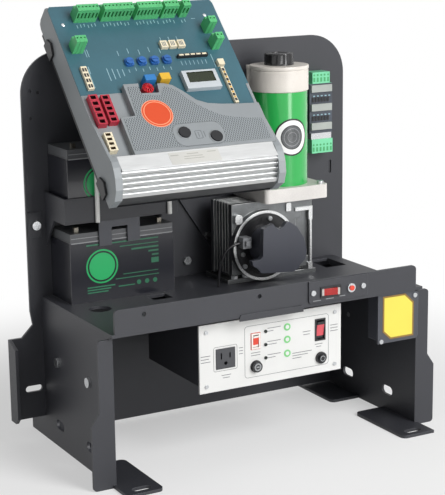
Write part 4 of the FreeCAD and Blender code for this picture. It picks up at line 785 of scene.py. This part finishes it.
# Small board parts: cream nylon switches and headers, a blue and a yellow film capacitor dipped
# in glossy epoxy, and a choke wound with glossy red wire. Their heights are on the slope.
parts_top, jumper_top = 42, 41
blue_case = surface("blue_epoxy_case", "2a78bb", 0.35, grain=0.8, relief=0.02)
yellow_case = surface("yellow_epoxy_case", "e5b535", 0.35, grain=0.8, relief=0.02)
red_wire = surface("red_enamelled_wire", "c41f2b", 0.3, grain=0.8, relief=0.05)
black_header = surface("black_header", "1a1b1d", 0.45, grain=0.7, relief=0.02)
dress(cream, "board_parts")
repaint("board_parts", blue_case, lambda a, s, t: 87 < a < 104 and 133.2 < s < 143 and t > 37,
        slope)
repaint("board_parts", yellow_case, lambda a, s, t: 109 < a < 125 and 133 < s < 144, slope)
repaint("board_parts", red_wire, lambda a, s, t: 81 < a < 98 and 117 < s < 133.1, slope)
repaint("board_parts", black_header, lambda a, s, t: 152 < a < 198 and 174 < s < 180, slope)
pins = [bar(154.5 + step * 8.4, 175.8, 6.2, 2.2) for step in range(5)]
printed("header_pins", pins, on_slope(parts_top), "control_box", cream, 0, 0.5)
slots = [bar(137 + bank * 12.5 + step * 2.1, 193.5, 1.1, 7)
         for bank in range(3) for step in range(3)]
printed("switch_slots", slots, on_slope(parts_top), "control_box", shadow_line, 0, 0.15)
openings = [bar(207.7, 98 + step * 8.2, 3.4, 4.2) for step in range(7)]
openings += [bar(13, 136 + step * 8.6, 2.6, 5.4) for step in range(4)]
openings += [bar(16.6, 136 + step * 8.6, 2.4, 5.4) for step in range(4)]
printed("jumper_openings", openings, on_slope(jumper_top), "control_box", black_header, 0, 0.15)
gold = surface("gold_plated_pins", "d8ae54", 0.3, metallic=1.0, grain=0.5, relief=0.01)
printed("jumper_pins", [bar(208.4, 103 + step * 8.2, 2, 1.8) for step in range(6)],
        on_slope(jumper_top), "control_box", gold, 0, 1.2)
choke_middle, core_radius, turn_radius, half_wire = (89.5, 125.4, 45.9), 4.6, 2.6, 0.55
choke = bmesh.new()
for step in range(11):
    spin = (Matrix.Translation(choke_middle) @ Matrix.Rotation(2 * math.pi * step / 11, 4, "Z")
            @ Matrix.Translation((core_radius, 0, 0)) @ Matrix.Rotation(math.pi / 2, 4, "X"))
    ends = [[choke.verts.new(spin @ Vector((x, y, z))) for x, y in circle(0, 0, turn_radius, 12)]
            for z in (-half_wire, half_wire)]
    joined(choke, *ends)
    choke.faces.new(ends[0])
    choke.faces.new(ends[1][::-1])
piece("choke_turns", choke, slope, "control_box", red_wire)

# Trimmers: moulded in shiny blue polyamide, a slotted dial that turns in a square case with its
# corners cut off. The cases are soldered in a row.
dial_radius, half_case, to_corner, trimmer_row = 5.3, 5.9, 7.2, 173.25
trimmer_blue = surface("blue_trimmer", "2762aa", 0.35, ior=1.53, grain=0.6, relief=0.02,
                       corner=0.3)
dress(trimmer_blue, "trim_pot_1", "trim_pot_2", "trim_pot_3", "trim_pot_4")
cases = bmesh.new()
for across in (82, 100, 118, 136):
    outer = []
    for x, y in circle(0, 0, 1, 24):
        reach = min(half_case / max(abs(x), abs(y)), to_corner)
        outer.append((across + x * reach, trimmer_row + y * reach))
    band(cases, circle(across, trimmer_row, dial_radius, 24), outer, 0, 3.4)
piece("trimmer_cases", cases, board_plane, "control_box", trimmer_blue)

# Round emblem: a bare disc of matt orange polyester stuck in the cover, with a pale printed ring
# and a pale rim.
emblem_middle, emblem_top = (87, 84), 47.1
orange = surface("orange_polyester", "d6491a", 0.45, grain=0.6, relief=0.004, mottle=0.04,
                 corner=0.1)
peach = ink("pale_orange_ink", "ffa27c", 0.4, grain=0.6)
emblem = bmesh.new()
flat_shape(emblem, circle(*emblem_middle, 20, 72), cover_top, emblem_top)
piece("orange_disc", emblem, slope, "control_box", orange)
printed("orange_disc_rings", [(circle(*emblem_middle, 17.2, 72),
                               circle(*emblem_middle, 18.4, 72))],
        on_slope(47.08), "control_box", peach)
printed("orange_disc_seat", [(circle(*emblem_middle, 20.05, 72),
                              circle(*emblem_middle, 21.2, 72))],
        on_slope(cover_top), "control_box", peach, 0, 0.3)

# Push buttons: dull black silicone domes that stand in two rimmed wells of the cover and press
# in. The rims are of the housing's own grey.
rubber = surface("black_silicone", "191a1d", 0.55, ior=1.42, grain=0.7, relief=0.03, corner=1.0)
dress(rubber, "left_button", "right_button")
wells = bmesh.new()
for across, up in ((113, 51.01), (155, 41.0)):
    band(wells, circle(across, up, 8.45), circle(across, up, 9.8), cover_sunk, 47.3)
piece("button_wells", wells, slope, "control_box", housing_grey)

# Heat sink: an aluminium extrusion across the front of the box, left bare, so its fine lines
# along X draw the light out into streaks. It carries a plain pale label with grey bars.
extrusion = surface("extruded_aluminium", "d2d3d3", 0.36, metallic=1.0, grain=1.2,
                    brushed=(0.05, 1, 1))
dress(extrusion, "heatsink")
label_paper = surface("pale_polyester_label", "c8c7c2", 0.45, grain=0.8, relief=0.005,
                      mottle=0.05, corner=0.05)
label_grey = ink("label_grey_ink", "a9a8a2", 0.5)
label_plane = on_slope(47)
printed("heatsink_label", [bar(79, 4.5, 70, 18)], label_plane, "control_box", label_paper)
printed("heatsink_label_lines", [bar(81, 17.5, 11, 1.2), bar(104, 18.2, 16, 1.2),
                                 bar(99, 14.6, 26, 1.0), bar(98, 11.2, 28, 1.0),
                                 bar(133, 18.8, 12, 1.2)],
        label_plane, "control_box", label_grey, 0.18, 0.24)

# Power panel: steel, powder coated a smooth white, with printed outlines and plain lines. The
# outlet is dull grey polyamide, the switches are shiny polycarbonate in black or pale frames.
panel_white = surface("white_powder_coat", "dcdcda", 0.42, grain=1.2, relief=0.02, mottle=0.03,
                      corner=0.4)
dress(panel_white, "power_panel")
outlet_grey = moulded("outlet_polyamide", "3b3c40", 0.5)
dress(outlet_grey, "outlet")
switch_black = moulded("black_switch_nylon", "1d1d20", 0.35)
dress(switch_black, "switch_frames", "button_seats", "fuse_cap", "breaker_button")
pale_frame = moulded("pale_switch_nylon", "efe8e2", 0.4)
repaint("switch_frames", pale_frame, lambda x, y, z: x < 0)


def two_colour(material, axis, middle, half, code):
    # Moulds a rocker in two colours: it takes the second one further than half from its middle.
    tree = material.node_tree
    shader = tree.nodes["Principled BSDF"]
    place = add(tree, "ShaderNodeTexCoord").outputs["Object"]
    parts = add(tree, "ShaderNodeSeparateXYZ", {0: place})
    off = add(tree, "ShaderNodeMath", {0: parts.outputs[axis], 1: middle * MM},
              operation="SUBTRACT")
    off = add(tree, "ShaderNodeMath", {0: off.outputs[0]}, operation="ABSOLUTE")
    past = add(tree, "ShaderNodeMath", {0: off.outputs[0], 1: half * MM},
               operation="GREATER_THAN")
    first = shader.inputs["Base Color"].links[0].from_socket
    both = add(tree, "ShaderNodeMix", {0: past.outputs[0], 6: first, 7: tint(code)},
               data_type="RGBA")
    tree.links.new(both.outputs[2], shader.inputs["Base Color"])
    return material


def red_surface(name, code):
    # Clear tinted polycarbonate, polished in the mould.
    return surface(name, code, 0.2, ior=1.58, relief=0.01, mottle=0.15)


dress(two_colour(red_surface("red_and_white_polycarbonate", "e0452f"), 2, 155.7, 4.9, "ece4de"),
      "dc_rocker")
dress(two_colour(red_surface("red_and_black_polycarbonate", "d2505a"), 2, 156.2, 7.8, "242427"),
      "ac_rocker")
dress(two_colour(red_surface("dark_red_polycarbonate", "a3100c"), 0, 81.4, 9.6, "b9b3ae"),
      "lip_rocker")
dress(red_surface("orange_red_polycarbonate", "d8402a"), "reset_button")
lip_under = 205
repaint("button_seats", nickel, lambda x, y, z: z > lip_under)
lamp_green = surface("green_lamp_lens", "7ccb80", 0.3, grain=0.6, relief=0.01, corner=0.2)
lamp_dark = surface("dark_lamp_lens", "1c2420", 0.15, grain=0.6, relief=0.01, corner=0.3)
dress(lamp_dark, "panel_lamps")
repaint("panel_lamps", lamp_green, lambda x, y, z: x > 20)

grey_print = ink("grey_panel_ink", "6d6f72", 0.5)
panel_front = on_front(-96)
lines = [(round_rect(-35, 108, 128, 69, 4), round_rect(-35.5, 107.5, 129, 70, 4.5)),
         (round_rect(-81, 124, 34, 32, 2), round_rect(-81.5, 123.5, 35, 33, 2.5))]
line_thick = 0.8
for x, y, wide in ((-100, 146, 14), (-100, 142, 12), (-100, 138, 14), (-44, 150, 6),
                   (-44, 146, 6), (-44, 142, 6), (-26, 140, 14), (-26, 136.5, 14),
                   (-1, 170, 20), (-1, 166, 9), (-1, 152, 20), (-1, 148, 14), (-1, 134, 20),
                   (-1, 130, 12), (53, 157, 12), (54, 153, 10), (37, 130, 30), (37, 126.5, 24),
                   (37, 123, 14), (96, 160, 12), (96, 156, 12), (96, 152, 12), (-70, 117, 14),
                   (-68, 113.5, 10), (72, 137, 12), (74, 133.5, 8)):
    lines.append(bar(x, y, wide, line_thick))
printed("panel_print", lines, panel_front, "frame", grey_print)
red_line = ink("red_panel_ink", "c8452f", 0.45)
printed("dc_switch_outline", [(round_rect(-25.6, 145.4, 13.2, 21.2, 0.6),
                               round_rect(-26.4, 144.6, 14.8, 22.8, 1))],
        panel_front, "frame", red_line, 0.02, 0.3)
silver_face = surface("zinc_fuse_face", "a9abad", 0.3, metallic=1.0, grain=0.8, relief=0.02)
cap_front = on_front(-102)
printed("fuse_cap_face", [(circle(-19, 122, 3.2, 32), circle(-19, 122, 5.2, 32)),
                          bar(-21.2, 121.1, 4.4, 1.8)], cap_front, "fuse_cap", silver_face,
        0.0, 0.25)
printed("breaker_ring", [(circle(81, 118, 3.0, 32), circle(81, 118, 3.9, 32))], cap_front,
        "breaker_button", silver_face, 0.0, 0.25)
centres = [circle(29, up, 2.7, 28) for up in (168, 151, 132)]
printed("panel_lamp_centres", centres, panel_front, "frame", panel_white, 0.55, 0.8)

# Hanger tab that carries the power panel: a folded tab of the same coated steel behind the
# lip's lower edge. Bare pale bars are printed on the lip under its switches.
hanger = bmesh.new()
flat_shape(hanger, [(-54, 192), (41, 192), (41, 197.5), (38.5, 200.5), (-51.5, 200.5),
                    (-54, 197.5)], 0.02, 1.5)
piece("panel_hanger", hanger, on_front(-116), "frame", powder_coat)
printed("lip_marks", [bar(55, 203.4, 12, 1.1), bar(75, 204, 12, 1.1), bar(96, 205, 9, 1.1)],
        on_front(-118.5), "frame", pale_ink, 0.02, 0.12)

# Plate on the junction cover: matt yellow polyester, bare, cut with two slanted corners and with
# an ochre edge. Two plated screws hold the cover.
yellow = surface("yellow_polyester", "e4d352", 0.45, grain=0.6, relief=0.004, mottle=0.03,
                 corner=0.1)
ochre = ink("ochre_edge_ink", "8a6a2c", 0.45, grain=0.6)
plate = [(173, 144), (184, 134), (219, 134), (219, 178), (206, 190), (173, 190)]
edge = [(170.6, 143), (183, 131.6), (221.4, 131.6), (221.4, 179.1), (207, 192.4), (170.6, 192.4)]
cover_front = on_front(-111)
printed("yellow_plate", [plate], cover_front, "frame", yellow, 0.02, 0.4)
printed("yellow_plate_edge", [(plate, edge)], cover_front, "frame", ochre, 0.02, 0.36)
screws = [circle(223, 188, 3.2, 24), circle(168, 130, 3.2, 24)]
printed("junction_cover_screws", screws, cover_front, "frame", zinc, 0.02, 1.6)

# Relay modules: dark boards in dull grey ABS cases that snap together, with a row of bright
# screws and pale green plug terminals above and below.
# Pale edges on the cases: partly wear, partly a painted highlight.
module_grey = surface("module_grey_abs", "a4a8a4", 0.5, ior=1.53, grain=0.8, relief=0.03,
                      corner=0.5, edge="c8cbc6")
module_dark = surface("module_board", "3c424c", 0.45, grain=0.9, relief=0.08, mottle=0.3,
                      corner=0.2)
pale_green = moulded("pale_green_polyamide", "76cfa0", 0.4)
dress(module_dark, "relay_modules")
module_face, board_rows = 86, (406, 433)
lower_plugs_top, screws_top, upper_plugs_foot = 379.1, 388.2, 458.9
for low in (393, 420, 447):
    repaint("relay_modules", module_grey, lambda x, y, z, low=low: low - 0.5 < z < low + 10.5
            and y < module_face)
repaint("relay_modules", pale_green, lambda x, y, z: z > upper_plugs_foot or z < lower_plugs_top)
repaint("relay_modules", nickel, lambda x, y, z: lower_plugs_top < z < screws_top)
module_front = on_front(module_face)
relays = [bar(182 + step * 5, low, 3.2, 6.5) for low in board_rows for step in range(6)]
printed("module_components", relays, module_front, "frame", black_header, 0, 1.2)
marks = [bar(184 + step * 6.4, low + 7.4, 3, 1.6) for low in board_rows for step in range(5)]
printed("module_marks", marks, module_front, "frame", legend, 0, 0.4)
# Plug mouths and screw holes of the terminals as flat dark marks: painted shade.
plug_mouth_shade = bmesh.new()
for low, count, left, wide in ((459, 5, 183, 29), (359, 6, 182, 35)):
    pitch = wide / count
    for step in range(count):
        flat_shape(plug_mouth_shade, bar(left + (step + 0.25) * pitch, low + 2.5, pitch / 2, 6),
                   0, 0.25)
        flat_shape(plug_mouth_shade, circle(left + (step + 0.5) * pitch, low + 12, 1.5, 12), 0, 0.25)
piece("module_plug_opening_shade", plug_mouth_shade, module_front, "frame", terminal_hollow_shade)

low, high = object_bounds()
